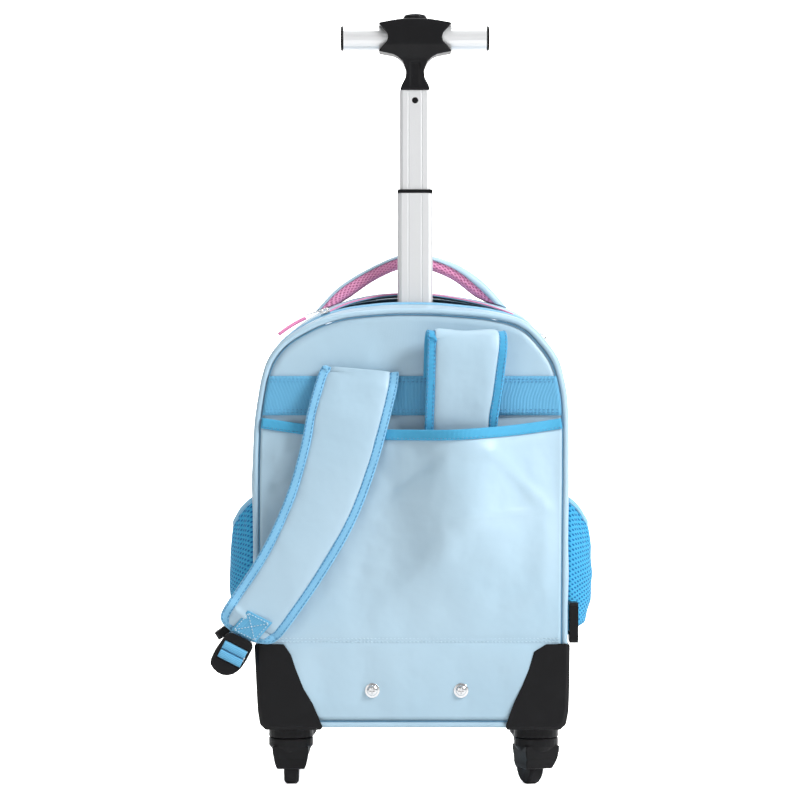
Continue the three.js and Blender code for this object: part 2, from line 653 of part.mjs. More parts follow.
function addBackPieces() {
  const wide = [-1, -0.8, -0.55, -0.3, 0, 0.3, 0.6, 0.8, 1];
  const fine = [-1, -0.85, -0.65, -0.4, -0.2, 0, 0.15, 0.3, 0.45, 0.6, 0.75, 0.88, 1];
  trim('webbing_band', acrossPanel(
    wide, [() => BAND_BOTTOM, () => BAND_TOP], (x, z) => backFace(x, z) - GAP - BAND_THICK, BAND_THICK,
  ));
  const pocketHeights = [0, 0.27, 0.45, 0.65, 0.85, 1].map(
    (share) => (x) => mix(STOW_BOTTOM, stowTopAt(x) - STOW_BINDING - GAP, share),
  );
  cloth('stow_pocket', acrossPanel(fine, pocketHeights, stowFace, CLOTH));
  trim('stow_binding', acrossPanel(
    fine,
    [(x) => stowTopAt(x) - STOW_BINDING, (x) => stowTopAt(x)],
    (x, z) => stowFace(x, z) - (BINDING_THICK - CLOTH) / 2,
    BINDING_THICK - (BINDING_THICK - CLOTH) / 2,
  ));
}

function strapFrames(stations) {
  // Middle, way across and outward normal at each station of a strap. Its way runs down the strap.
  return stations.map((station, i) => {
    const before = stations[Math.max(i - 1, 0)].at;
    const after = stations[Math.min(i + 1, stations.length - 1)].at;
    const ahead = after.clone().sub(before).normalize();
    const across = (station.across ?? point(1, 0, 0)).clone();
    across.addScaledVector(ahead, -across.dot(ahead)).normalize();
    const normal = new THREE.Vector3().crossVectors(ahead, across).normalize();
    return { at: station.at, ahead, across, normal, half: station.width / 2 };
  });
}

function strip(frames, thickness, columns = [-1, 1], edge = 1) {
  // A flat or padded strip. edge is the thickness at its two long edges as a share of the middle's.
  const grid = (side) =>
    frames.map(({ at, across, normal, half }) =>
      columns.map((share) => {
        const thick = thickness * mix(edge, 1, Math.sqrt(1 - share * share));
        return at.clone().addScaledVector(across, half * share).addScaledVector(normal, (side * thick) / 2);
      }),
    );
  return wall(grid(1), grid(-1));
}

function rim(frames, rounded) {
  // The binding round a strap pad: down one edge, round the end and up the other edge.
  const width = STRAP_RIM_WIDTH;
  const last = frames[frames.length - 1];
  const station = (frame, base, outward) =>
    [
      [GAP, 1],
      [GAP + width, 1],
      [GAP + width, -1],
      [GAP, -1],
    ].map(([reach, side]) =>
      base.clone().addScaledVector(outward, reach).addScaledVector(frame.normal, (side * STRAP_RIM_THICK) / 2),
    );
  const edgeOf = (frame, side) =>
    station(
      frame,
      frame.at.clone().addScaledVector(frame.across, side * frame.half),
      frame.across.clone().multiplyScalar(side),
    );
  const corner = (side, share) => {
    const outward = last.across.clone().multiplyScalar(side).lerp(last.ahead, share).normalize();
    return station(last, last.at.clone().addScaledVector(last.across, side * last.half), outward);
  };
  const end = rounded
    ? [corner(-1, 0.35), corner(-1, 0.7), corner(1, 0.7), corner(1, 0.35)]
    : [corner(-1, 0.5), corner(1, 0.5)];
  const down = frames.map((frame) => edgeOf(frame, -1));
  const up = frames.map((frame) => edgeOf(frame, 1)).reverse();
  return tube([...down, ...end, ...up]);
}

function leftStrapFrames() {
  const top = LEFT_STRAP[0];
  const place = ({ across, up }) => [across * BAG_HALF_WIDTH, BAG_BOTTOM + up * BAG_HEIGHT];
  const seat = backFace(...place(top)) - 2 * GAP - BAND_THICK - STRAP_THICK / 2;
  return strapFrames(LEFT_STRAP.map((station) => {
    const [x, z] = place(station);
    return {
      at: point(x, seat - station.lift * LEFT_STRAP_LIFT, z),
      width: station.width * LEFT_STRAP_WIDTH - 2 * (STRAP_RIM_WIDTH + GAP),
    };
  }));
}

function lockCentre() {
  const frames = leftStrapFrames();
  const end = frames[frames.length - 1].at;
  return point(end.x - LOCK.outward, end.y - LOCK.proud, end.z - LOCK.drop);
}

function lockPoint(along, off, across = 0) {
  // A point of the ladder lock, which is turned in the plane of the back.
  const turn = THREE.MathUtils.degToRad(LOCK.turn);
  return lockCentre().add(point(
    along * Math.sin(turn) + across * Math.cos(turn), off, along * Math.cos(turn) - across * Math.sin(turn),
  ));
}

function addLeftStrap() {
  const frames = leftStrapFrames();
  cloth('left_strap', strip(frames, STRAP_THICK, [-1, -0.5, 0.5, 1], STRAP_EDGE));
  trim('left_strap_binding', rim(frames, true));
  const near = LOCK.half + PATCH.near;
  const row = (along, shift, frame, gap) => [-PATCH.width / 2, PATCH.width / 2].map((across) => {
    const corner = lockPoint(along, 0, across + shift);
    corner.y = frame.at.y - STRAP_THICK / 2 - gap;
    return corner;
  });
  const last = frames.length - 1;
  const inner = [
    row(near + PATCH.length, PATCH.farShift, frames[last - 2], 4 * GAP),
    row(near, PATCH.nearShift, frames[last], GAP),
  ];
  const outer = inner.map((points) => points.map((p) => p.clone().add(point(0, -WEBBING_THICK, 0))));
  trim('left_strap_patch', wall(outer, inner));
}

function addLadderLock() {
  const { half, thick, slotHalf } = LOCK;
  const outline = LOCK_OUTLINE.map(({ across, along }) => [across * half, along * half]);
  const holes = LOCK_SLOTS.map(({ from, to }) => [
    [-slotHalf, from * half], [slotHalf, from * half], [slotHalf, to * half], [-slotHalf, to * half],
  ]);
  const centre = lockCentre();
  const geometry = plate(outline, -thick / 2, thick, holes);
  geometry.rotateY(THREE.MathUtils.degToRad(LOCK.turn)).translate(centre.x, centre.y, centre.z);
  plastic('ladder_lock', geometry);
  const wide = lockPoint(0, 0, 1).sub(lockPoint(0, 0, 0));
  const ribbon = (points) => strip(
    strapFrames(points.map(({ at, across }) => ({ at, across: across ?? wide, width: WEBBING_WIDTH }))), WEBBING_THICK,
  );
  const threaded = (table) => table.map(({ along, off }) => ({ at: lockPoint(along * half, off * half) }));
  trim('lock_webbing', ribbon(threaded(LOCK_LOOP)));
  const pass = threaded(LOCK_PASS);
  const start = pass[pass.length - 1].at;
  const run = clipEnd().sub(start);
  const runs = ADJUSTER.map(({ x, y, z, width }) => ({
    at: start.clone().add(point(run.x * x, run.y * y, run.z * z)),
    across: point(...width),
  }));
  trim('adjuster_webbing', ribbon([...pass, ...runs]));
}

function clipHinge(side) {
  // The top end of a clip's middle line, beside the webbing tab on the bag's side.
  const top = CLIP.bottom + CLIP.length;
  const tabFace = Math.max(sideAt(top, side), sideAt(CLIP.bottom, side)) + GAP + TAB.thick;
  const lean = side < 0 ? THREE.MathUtils.degToRad(CLIP.lean) : 0;
  const reach = tabFace + GAP + (CLIP.thick / 2) * Math.cos(lean);
  return { tabFace, lean, x: side * reach, z: top - CLIP.length * 0.35 * Math.sin(lean) };
}

function clipEnd() {
  // Where the adjusting webbing ends: under the lower end of the left clip.
  const { lean, x, z } = clipHinge(-1);
  const down = CLIP.length * 0.9;
  const off = CLIP.thick / 2 + GAP + WEBBING_THICK;
  return point(
    x - down * Math.sin(lean) + off * Math.cos(lean), CLIP.y + CLIP.depth / 2, z - down * Math.cos(lean) - off * Math.sin(lean),
  );
}

function addClip(name, side) {
  // A webbing tab sewn to the bag's side with the buckle half on it. The left one is pulled out by the strap.
  const { bottom, length, y, depth, thick, slot, rim: edge } = CLIP;
  const { tabFace, lean, x, z } = clipHinge(side);
  const [tabNear, tabFar] = side > 0 ? [tabFace - TAB.thick, tabFace] : [-tabFace, TAB.thick - tabFace];
  trim(`${name}_tab`, block(
    tabNear, tabFar, y + edge, y + depth - edge, bottom + TAB.rise, bottom + length - edge,
  ));
  const slots = CLIP_SLOTS.map((share) => {
    const low = (share - 1) * length;
    return [[y + edge, low], [y + depth - edge, low], [y + depth - edge, low + slot], [y + edge, low + slot]];
  });
  const outline = [
    [y, edge - length], [y + edge, -length], [y + depth - edge, -length], [y + depth, edge - length],
    [y + depth, -edge], [y + depth - edge, 0], [y + edge, 0], [y, -edge],
  ];
  plastic(name, sidePlate(outline, -thick / 2, thick, slots).rotateY(lean).translate(x, 0, z));
}

function addRightStrap() {
  const frames = strapFrames(RIGHT_STRAP.map(({ across, off, up, width }) => ({
    at: point(across * BAG_HALF_WIDTH, -off * FOLD_DEPTH, BAG_BOTTOM + up * BAG_HEIGHT),
    width: width * RIGHT_STRAP_WIDTH - 2 * (STRAP_RIM_WIDTH + GAP),
  })));
  cloth('right_strap', strip(frames, STRAP_THICK, [-1, -0.5, 0.5, 1], STRAP_EDGE));
  trim('right_strap_binding', rim(frames, false));
}

function addHandle() {
  const layer = (from, to, columns) => {
    const grid = (shareOf) =>
      HANDLE.map(({ outer, outerUp, inner, innerUp, cover }) =>
        columns.map((column) => point(
          HANDLE_HALF_SPAN * mix(outer, inner, shareOf(cover)),
          HANDLE_Y + HANDLE_DEPTH * column,
          HANDLE_BASE + HANDLE_RISE * mix(outerUp, innerUp, shareOf(cover)),
        )),
      );
    return wall(grid(from), grid(to));
  };
  const seam = 0.02; // between the cover and the pad, as a share of the handle's thickness
  cloth('handle_cover', layer(() => 0, (cover) => cover - seam, [0, 0.25, 0.75, 1]));
  addPiece('handle_pad', layer((cover) => cover, () => 1, [0.03, 0.97]), COLOURS.pink, 0.9);
}

function addSidePocket(name, side) {
  const steps = [0, 0.1, 0.25, 0.5, 0.75, 0.9, 1];
  const topAt = (along) => POCKET_TOP - POCKET_SAG * Math.sin(Math.PI * along);
  const outwards = (along, up, puff, extra) => {
    const z = mix(POCKET_BOTTOM, topAt(along), up);
    const reach = sideAt(z, side) + GAP + extra + POCKET_PUFF * puff * Math.sin(Math.PI * along) ** 0.7;
    return point(side * reach, mix(POCKET_BACK, POCKET_FRONT, along), z);
  };
  const grid = (extra) => steps.map((along) => POCKET_PROFILE.map(({ up, puff }) => outwards(along, up, puff, extra)));
  addPiece(name, wall(grid(CLOTH), grid(0)), COLOURS.mesh, 0.9);
  const mouth = POCKET_PROFILE[POCKET_PROFILE.length - 1];
  const hem = steps.map((along) =>
    outwards(along, mouth.up, mouth.puff, HEM_RADIUS).add(point(0, 0, HEM_RADIUS + GAP)),
  );
  trim(`${name}_hem`, roundTube(hem, HEM_RADIUS, 6, point(0, 0, 1)));
}

function addGuard(name, side, front) {
  // A corner guard: a face over the panel's corner, turned round the piping and back under the gusset.
  const edge = side > 0 ? GUARD_EDGE.right : GUARD_EDGE.left;
  const rows = rowRange(GUARD_END_ROWS - edge.length + 1, GUARD_END_ROWS).map((row) => side * row);
  const place = (p) => (front ? point(p.x, BACK_PIPING_Y + FRONT_PIPING_Y - p.y, p.z) : p);
  const edgePoint = (k, y, drop) => {
    const up = BAG_BOTTOM + edge[k].up * BAG_HEIGHT;
    return point(side * edge[k].across * BAG_HALF_WIDTH, y, up - (k === edge.length - 1 ? drop : 0));
  };
  const layer = (off, corner, turn) => rows.map((row, k) => [
    edgePoint(k, -GUARD_FACE - off, GAP + off),
    ringPoint(row, corner, -GUARD_FACE - off),
    ringPoint(row, -GAP - off, turn),
    ringPoint(row, -GAP - off, GUARD_DEPTH),
  ].map(place));
  const outer = layer(GUARD_WALL, GUARD_WALL * 0.8, -GUARD_WALL * 0.8);
  const inner = layer(0, GUARD_WALL * 0.3, -GUARD_WALL * 0.9);
  const caster = casterAt(side, front);
  const socketTop = BAG_BOTTOM - GAP - GUARD_WALL / 2;
  const { radius, sides } = SOCKET;
  const socket = turned([[0, socketBottom()], [radius, socketBottom()], [radius, socketTop], [0, socketTop]], sides);
  socket.translate(caster.x, caster.y, 0);
  plastic(name, fromSolid(toSolid(wall(outer, inner)).add(toSolid(socket))));
}

const socketBottom = () => BAG_BOTTOM - SOCKET.height;

function casterAt(side, front) {
  const y = front ? BACK_PIPING_Y + FRONT_PIPING_Y - CASTER_Y : CASTER_Y;
  return point(CASTER_MID_X + side * CASTER_X, y, 0);
}

function forkGeometry() {
  // A hood over the wheel, closed towards the strap side, under a round turning plate.
  const { radius, height, lowRadius, taper } = NECK;
  const { midHalf, midDrop, lowHalf, tipHalf, mouth, tip, lean } = HOOD;
  const top = socketBottom() - GAP;
  const plateLow = top - height;
  const low = plateLow - taper;
  const neck = turned([[0, low], [lowRadius, low], [radius, plateLow], [radius, top], [0, top]], SOCKET.sides);
  const rightSide = [
    [lowRadius, plateLow], [lowRadius, low], [midHalf, low - midDrop], [lowHalf, mix(mouth, low - midDrop, 0.3)],
    [tipHalf, mouth - 1], [tipHalf, 0],
  ];
  const outline = [...rightSide, ...[...rightSide].reverse().map(([x, z]) => [-x, z])];
  const front = plate(outline, -radius, 2 * radius + CASTER_TRAIL);
  const wheelFront = CASTER_TRAIL - WHEEL.radius / Math.cos(Math.PI / WHEEL.sides) - WHEEL.gap;
  const lip = [-150, -120, -90, -60, -30, 0].map((degrees) => {
    const angle = THREE.MathUtils.degToRad(degrees);
    return [CASTER_TRAIL + tip * Math.cos(angle), WHEEL.radius + tip * Math.sin(angle)];
  });
  const side = sidePlate([
    [-lowRadius, plateLow], [-lowRadius + 1, low], [wheelFront - lean, mix(mouth, low, 0.55)], [wheelFront - 3, mouth],
    [wheelFront, mouth - 1], ...lip, [lowRadius, low - midDrop], [lowRadius, plateLow],
  ], -radius, 2 * radius);
  const slotHalf = WHEEL.halfWidth + WHEEL.sideGap;
  const wheelTop = 2 * WHEEL.radius + WHEEL.gap;
  const opening = block(-slotHalf, slotHalf, wheelFront, 2 * radius, 0, wheelTop);
  const axle = turned([[0, -tipHalf], [AXLE_RADIUS, -tipHalf], [AXLE_RADIUS, tipHalf], [0, tipHalf]], 12);
  axle.rotateY(Math.PI / 2).translate(0, CASTER_TRAIL, WHEEL.radius);
  const hood = toSolid(front).intersect(toSolid(side)).add(toSolid(neck)).subtract(toSolid(opening));
  return fromSolid(hood.add(toSolid(axle)));
}

function wheelGeometry() {
  // Flats all round, so that it stands still on the floor; one flat is at the bottom.
  const { radius, halfWidth, shoulder, sides } = WHEEL;
  const corner = radius / Math.cos(Math.PI / sides);
  const bore = AXLE_RADIUS + GAP;
  const profile = [
    [bore, -halfWidth], [corner - shoulder, -halfWidth], [corner, -halfWidth + shoulder],
    [corner, halfWidth - shoulder], [corner - shoulder, halfWidth], [bore, halfWidth], [bore, -halfWidth],
  ];
  const geometry = turned(profile, sides).rotateZ(Math.PI / sides).rotateY(Math.PI / 2);
  return geometry.translate(0, CASTER_TRAIL, radius);
}

function addCasters() {
  [['left', -1], ['right', 1]].forEach(([sideName, side]) => {
    [['rear', false], ['front', true]].forEach(([endName, front]) => {
      const turn = side > 0 && !front ? THREE.MathUtils.degToRad(RIGHT_CASTER_TURN) : 0;
      const at = casterAt(side, front);
      const set = (geometry) => geometry.rotateZ(turn).translate(at.x, at.y, at.z);
      addGuard(`${sideName}_${endName}_guard`, side, front);
      plastic(`${sideName}_${endName}_fork`, set(forkGeometry()));
      addPiece(`${sideName}_${endName}_wheel`, set(wheelGeometry()), COLOURS.tyre, 0.7);
    });
  });
}

function addRivet(name, x) {
  // A domed cross-head screw on a washer.
  const { up, washer, washerHeight, head, headHeight } = RIVET;
  const { length, width, depth } = CROSS;
  const full = washerHeight + headHeight;
  const shape = turned([
    [0, 0], [washer, 0], [washer, washerHeight], [head, washerHeight * 1.2], [head * 0.85, full - headHeight / 3],
    [head * 0.5, full], [0, full],
  ], 16);
  const arms = [[length, width], [width, length]].map(([wide, high]) =>
    toSolid(block(-wide / 2, wide / 2, -high / 2, high / 2, full - depth, full + depth)),
  );
  const screw = fromSolid(toSolid(shape).subtract(arms[0].add(arms[1])));
  metal(name, screw.rotateX(Math.PI / 2).translate(x, stowFace(x, up) - GAP, up));
}

function fluted(halfX, halfY, offset) {
  // Section of a mast tube: flattened, with cut corners and two flutes on each broad face.
  const [x, y] = [halfX - offset, halfY - offset];
  const cut = halfY * 0.45;
  const { across, half, depth } = FLUTE;
  const flutes = (side) => [-1, 1].flatMap((flute) => [
    [side * (flute * across - half), side * y],
    [side * flute * across, side * (y - depth)],
    [side * (flute * across + half), side * y],
  ]);
  return [
    [-x, -y + cut], [-x + cut * 0.35, -y + cut * 0.35], [-x + cut, -y],
    ...flutes(-1).reverse(),
    [x - cut, -y], [x - cut * 0.35, -y + cut * 0.35], [x, -y + cut],
    [x, y - cut], [x - cut * 0.35, y - cut * 0.35], [x - cut, y],
    ...flutes(1).reverse(),
    [-x + cut, y], [-x + cut * 0.35, y - cut * 0.35], [-x, y - cut],
  ];
}

function mastTube({ halfX, halfY, wall: thickness, bottom, top }) {
  const grid = (offset) =>
    fluted(halfX, halfY, offset).map(([x, y]) => [bottom, top].map((z) => point(MAST_X + x, MAST_Y + y, z)));
  return wall(grid(0), grid(thickness), true);
}

function rectangleRing(halfX, halfY, thickness, bottom, top) {
  const outer = block(MAST_X - halfX, MAST_X + halfX, MAST_Y - halfY, MAST_Y + halfY, bottom, top);
  const inner = block(
    MAST_X - halfX + thickness, MAST_X + halfX - thickness, MAST_Y - halfY + thickness, MAST_Y + halfY - thickness,
    bottom - 1, top + 1,
  );
  return toSolid(outer).subtract(toSolid(inner));
}

function addMast() {
  const outerX = MIDDLE_TUBE.halfX + SLEEVE.clearance + SLEEVE.wall;
  const outerY = MIDDLE_TUBE.halfY + SLEEVE.clearance + SLEEVE.wall;
  const foot = BAG_BOTTOM + CLOTH + GAP;
  const footPlate = block(
    MAST_X - outerX - SLEEVE.footSpread, MAST_X + outerX + SLEEVE.footSpread, MAST_Y - outerY, MAST_Y + outerY,
    foot, foot + SLEEVE.footHeight,
  );
  const sleeve = rectangleRing(outerX, outerY, SLEEVE.wall, foot + SLEEVE.footHeight / 2, SLEEVE.top);
  metal('mast_sleeve', fromSolid(sleeve.add(toSolid(footPlate))));
  metal('mast_middle_tube', mastTube(MIDDLE_TUBE));
  const collarWall = MIDDLE_TUBE.halfX - INNER_TUBE.halfX - GAP;
  const collarBottom = MIDDLE_TUBE.top + GAP;
  plastic('mast_collar', fromSolid(rectangleRing(
    MIDDLE_TUBE.halfX, INNER_TUBE.halfY + GAP + collarWall, collarWall, collarBottom, collarBottom + COLLAR_HEIGHT,
  )));
  const pinUp = INNER_TUBE.top - PIN.drop;
  const stud = (radius, length) =>
    turned([[0, 0], [radius, 0], [radius, length], [0, length]], PIN.sides)
      .rotateX(Math.PI / 2)
      .translate(MAST_X, MAST_Y - INNER_TUBE.halfY + PIN.length, pinUp);
  const hole = toSolid(stud(PIN.radius, 2 * PIN.length));
  metal('mast_inner_tube', fromSolid(toSolid(mastTube(INNER_TUBE)).subtract(hole)));
  plastic('tube_pin', stud(PIN.radius - GAP, PIN.length));
}

function hubGeometry() {
  // The grip's hub in the middle of the bar, from the button's seat down to the foot on the inner tube.
  const foot = INNER_TUBE.top + GAP;
  const mid = foot + BAR.rise;
  const side = BAR.radius + HUB.wall;
  const full = side + HUB.crown;
  const top = mid + full;
  const neckTop = mid - full;
  const waist = mix(foot, neckTop, HUB_NECK.waist);
  const footHalf = INNER_TUBE.halfX - HUB_NECK.inset;
  const halfDepth = BAR.radius + HUB.depthWall;
  const notch = HUB.half - HUB.notch;
  const rightSide = [
    [0, top], [HUB.half * 0.3, mix(mid, top, 0.98)], [HUB.half * 0.65, mix(mid, top, 0.88)], [HUB.half, mid + side],
    [mix(notch, HUB.half, 0.52), mid + side * 0.61], [mix(notch, HUB.half, 0.1), mid + side * 0.3], [notch, mid],
    [mix(notch, HUB.half, 0.1), mid - side * 0.3], [mix(notch, HUB.half, 0.52), mid - side * 0.61],
    [HUB.half, mid - side], [HUB.half * 0.6, mix(mid, neckTop, 0.89)], [HUB.half * 0.46, mix(neckTop, waist, 0.04)],
    [HUB.half * 0.34, mix(neckTop, waist, 0.36)], [HUB_NECK.half, waist], [HUB_NECK.half * 1.06, mix(waist, foot, 0.38)],
    [footHalf * 0.9, mix(waist, foot, 0.76)], [footHalf, foot],
  ];
  const outline = [...rightSide, ...rightSide.slice(1).reverse().map(([x, z]) => [-x, z])];
  const depthRight = [
    [halfDepth * 0.83, top + 0.2], [halfDepth * 0.91, mix(top, mid, 0.08)], [halfDepth, mix(top, mid, 0.4)],
    [halfDepth, mix(neckTop, mid, 0.6)], [halfDepth * 0.83, mix(neckTop, mid, 0.3)],
    [HUB_NECK.halfDepth * 1.2, mix(neckTop, foot, 0.03)], [HUB_NECK.halfDepth, waist], [HUB_NECK.halfDepth, foot],
  ];
  const sideOutline = [...depthRight, ...[...depthRight].reverse().map(([y, z]) => [-y, z])];
  const blank = toSolid(plate(outline, -2 * halfDepth, 4 * halfDepth))
    .intersect(toSolid(sidePlate(sideOutline, -HUB.half - 1, 2 * HUB.half + 2)));
  const boreRadius = BAR.radius + GAP;
  const bore = turned([[0, -HUB.half * 2], [boreRadius, -HUB.half * 2], [boreRadius, HUB.half * 2], [0, HUB.half * 2]], BAR.sides);
  bore.rotateY(Math.PI / 2).translate(0, 0, mid);
  const seat = top - BUTTON.sunk - BUTTON.travel - GAP;
  const wellRadius = BUTTON.radius + GAP;
  const well = turned([[0, seat], [wellRadius, seat], [wellRadius, top + 2], [0, top + 2]], BAR.sides);
  const recessHalf = HUB_NECK.half * 0.58;
  const recess = block(
    -recessHalf, recessHalf, -2 * halfDepth, -HUB_NECK.halfDepth * 0.91, mix(foot, neckTop, 0.09), mix(foot, neckTop, 0.83),
  );
  const plugX = INNER_TUBE.halfX - INNER_TUBE.wall - PLUG.clearance;
  const plugY = INNER_TUBE.halfY - INNER_TUBE.wall - FLUTE.depth - PLUG.clearance / 2;
  const plug = block(-plugX, plugX, -plugY, plugY, foot - PLUG.length, foot + 1);
  const solid = blank.subtract(toSolid(bore)).subtract(toSolid(well)).subtract(toSolid(recess)).add(toSolid(plug));
  return { hub: fromSolid(solid).translate(MAST_X, MAST_Y, 0), mid, top };
}

function addGrip() {
  const { hub, mid, top } = hubGeometry();
  plastic('grip_hub', hub);
  const tubeHalf = BAR.halfLength - BAR_CAP - GAP;
  const bore = BAR.radius - BAR.wall;
  const bar = turned([
    [bore, -tubeHalf], [BAR.radius, -tubeHalf], [BAR.radius, tubeHalf], [bore, tubeHalf], [bore, -tubeHalf],
  ], BAR.sides);
  metal('grip_bar', bar.rotateY(Math.PI / 2).translate(MAST_X, MAST_Y, mid));
  const capPlug = bore - GAP;
  const plugLength = BAR_CAP * 3;
  const cap = turned([
    [0, -plugLength], [capPlug, -plugLength], [capPlug, 0], [BAR.radius, 0], [BAR.radius, BAR_CAP * 0.7],
    [BAR.radius * 0.9, BAR_CAP], [0, BAR_CAP],
  ], BAR.sides);
  const tubeEnd = tubeHalf + GAP;
  plastic('bar_cap_right', cap.clone().rotateY(Math.PI / 2).translate(MAST_X + tubeEnd, MAST_Y, mid));
  plastic('bar_cap_left', cap.clone().rotateY(-Math.PI / 2).translate(MAST_X - tubeEnd, MAST_Y, mid));
  const { radius, proud, sunk } = BUTTON;
  const dome = turned([
    [0, top - sunk], [radius, top - sunk], [radius, top + proud * 0.46], [radius * 0.88, top + proud * 0.78],
    [radius * 0.5, top + proud * 0.95], [0, top + proud],
  ], BAR.sides);
  plastic('grip_button', dome.translate(MAST_X, MAST_Y, 0));
}

addBagShell();
addSliders();
addBackPieces();
addLeftStrap();
addLadderLock();
addRightStrap();
addClip('left_clip', -1);
addClip('right_clip', 1);
addHandle();
addSidePocket('left_side_pocket', -1);
addSidePocket('right_side_pocket', 1);
addCasters();
addRivet('left_rivet', RIVET.left);
addRivet('right_rivet', RIVET.right);
addMast();
addGrip();

const bounds = new THREE.Box3().setFromObject(bag);
const centre = bounds.getCenter(new THREE.Vector3());
bag.position.set(-centre.x, -centre.y, -bounds.min.z);

const part = new THREE.Group();
part.add(bag);
export default part;
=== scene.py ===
import math

import bmesh
import bpy
import numpy as np
from mathutils import Matrix, Vector, noise


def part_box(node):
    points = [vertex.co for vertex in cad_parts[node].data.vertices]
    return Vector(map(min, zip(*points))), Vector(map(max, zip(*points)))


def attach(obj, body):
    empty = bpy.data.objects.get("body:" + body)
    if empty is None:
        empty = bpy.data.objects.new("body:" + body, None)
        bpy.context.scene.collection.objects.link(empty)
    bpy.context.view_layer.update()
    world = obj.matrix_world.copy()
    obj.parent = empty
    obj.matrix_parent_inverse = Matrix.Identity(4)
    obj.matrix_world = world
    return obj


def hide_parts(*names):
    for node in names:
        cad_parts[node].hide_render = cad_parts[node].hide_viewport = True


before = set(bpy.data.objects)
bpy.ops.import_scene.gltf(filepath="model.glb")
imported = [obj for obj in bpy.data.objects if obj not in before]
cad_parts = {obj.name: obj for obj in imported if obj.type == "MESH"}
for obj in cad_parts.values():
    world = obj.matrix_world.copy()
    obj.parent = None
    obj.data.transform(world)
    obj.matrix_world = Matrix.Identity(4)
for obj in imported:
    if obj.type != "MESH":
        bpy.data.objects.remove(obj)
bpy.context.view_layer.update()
scene = bpy.context.scene

# Sizes in millimetres in the bag's own coordinates: x = 0 is the middle of the bag, y = 0 the back seam,
# z = 0 the floor. to_row turns them into the frame's metres.
MAST = np.array([4.6, 36.5])
mast_low, mast_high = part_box("mast_middle_tube")
mast_middle = (np.array(mast_low) + np.array(mast_high)) * 500
SHIFT = np.append(mast_middle[:2] - MAST, 0.0)

HALF_WIDTH = 165.0
HEIGHT = 438.0
BOTTOM = 64.0
GAP = 0.4
OUT_OF_BACK = (0.0, -1.0, 0.0)
PIPING_RADIUS = 3.0
BACK_PIPING_Y = 1.0
FRONT_PIPING_Y = 173.4
CROWN_RISE = 18.0
CROWN_DEPTH = 80.0
CROWN_FALL = 8.0
CROWN_SPREAD = 1.1
BACK_DOME = 4.0
FRONT_DOME = 18.0
SLOT_ZIP_Y = 20.3
SLOT_WIDTH = 24.5
SLOT_ROWS = 4
SLOT_ZIP_ROWS = 9
SLOT_TAPE = 4.7
MAIN_ZIP_Y = 108.0
MAIN_ZIP_WIDTH = 9.7
MAIN_ZIP_ROWS = 11
BAND = (390.0, 431.0)
BAND_SEAMS = (3.0, 6.0)
BAND_STAND = 1.3
STOW_BOTTOM = 73.0
STOW_TOP = 388.0
STOW_SAG = 13.0
STOW_BINDING = 11.0
LOWER_SEAM = 154.0
SEAM_PINCH = 1.1
SEAM_REACH = 3.0
SEAM_CALM = 7.0  # how near it the folds die away
STRAP_THICK = 9.0
RIM_WIDTH = 9.7
RIM_THICK = 5.4
LEFT_WIDTH = 85.0
LEFT_LIFT = 19.0
RIGHT_WIDTH = 80.0
FOLD_DEPTH = 28.0
LOCK = {"outward": 12.7, "drop": 19.4, "proud": 7.5, "turn": 27.0, "half": 15.5}
PATCH = {
    "near": 0.8, "length": 27.0, "half": 14.3, "near_shift": 1.4, "far_shift": 7.9, "stand": 1.6,
    "top_row": -19,
    "seam": 2.5, "seam_share": 0.09,
}
WEBBING = (25.9, 1.5)
CLIP_END = np.array([-195.4, 17.0, 155.6])  # under the lower end of the left clip
SLIDER = {
    "height": 4.0, "sink": 1.2, "plate": (10.5, 7.5, 2.2), "waist": 0.7, "post": (2.2, 3.0, 3.2),
    "post_x": 3.2, "post_z": 2.2, "bridge": (8.6, 3.0, 1.2), "bridge_z": 3.6, "tongue": 14.0,
    "tab": (3.0, 4.0, 1.5), "tab_x": -4.0, "tab_z": 2.8,
}
PULL_REACH = np.array([-28.0, -9.0, -17.5])
PULL_ARCH = 1.2
PULL_DIAMETER = 3.8
HANDLE = {"half_span": 104.0, "base": 495.0, "rise": 66.0, "y": 56.0, "depth": 32.0}
POCKET = {"back": 34.0, "front": 104.0, "bottom": 158.0, "top": 299.0, "sag": 27.0, "puff": 28.0}
POCKET_GATHER = 1.1
POCKET_WAVES = 46  # radians of gathers from its back edge to its front edge
# The stow pocket stands off the back by plain, and by full over the folded strap, from low up over ramp.
STOW = {
    "low": 155.0, "ramp": 175.0, "plain": 6.0, "full": 32.0, "full_x": 54.0, "full_reach": 55.0, "edge": 40.0,
    "stand": 2.0, "corner": 18.0, "corner_top": 100.0, "corner_ramp": 30.0, "corner_share": 0.35,
}
SEAM_MARGIN = 9.0  # stitches on the back end this far inside the bag's side
BAND_INSET = 7.2
STOW_INSET = 7.4
STOW_REACH = 158.0  # across to the ends of the stow pocket's top
STOW_SINK = 0.8  # of the cloth's middle below its face
STOW_TUCK = 2.0  # of the cloth into its binding
STOW_FADE = {"across": 0.12, "up": 0.06}  # shares over which the folds die away at the edges
FOLD_LIFT = 1.0
FOLD_RISE = {"low": 150.0, "ramp": 120.0}  # the folds are half as high below this
# Rounds of smoothing.
BINDING_PASSES = 24
HEM_PASSES = 12
MOULD_PASSES = 5
# Wrinkles: their size and their depth.
PANEL_WRINKLES = ((70, 2.2), (28, 0.8))
GUSSET_WRINKLES = ((45, 1.6), (18, 0.5))
STRAP_WRINKLES = ((34, 1.5), (15, 0.5))
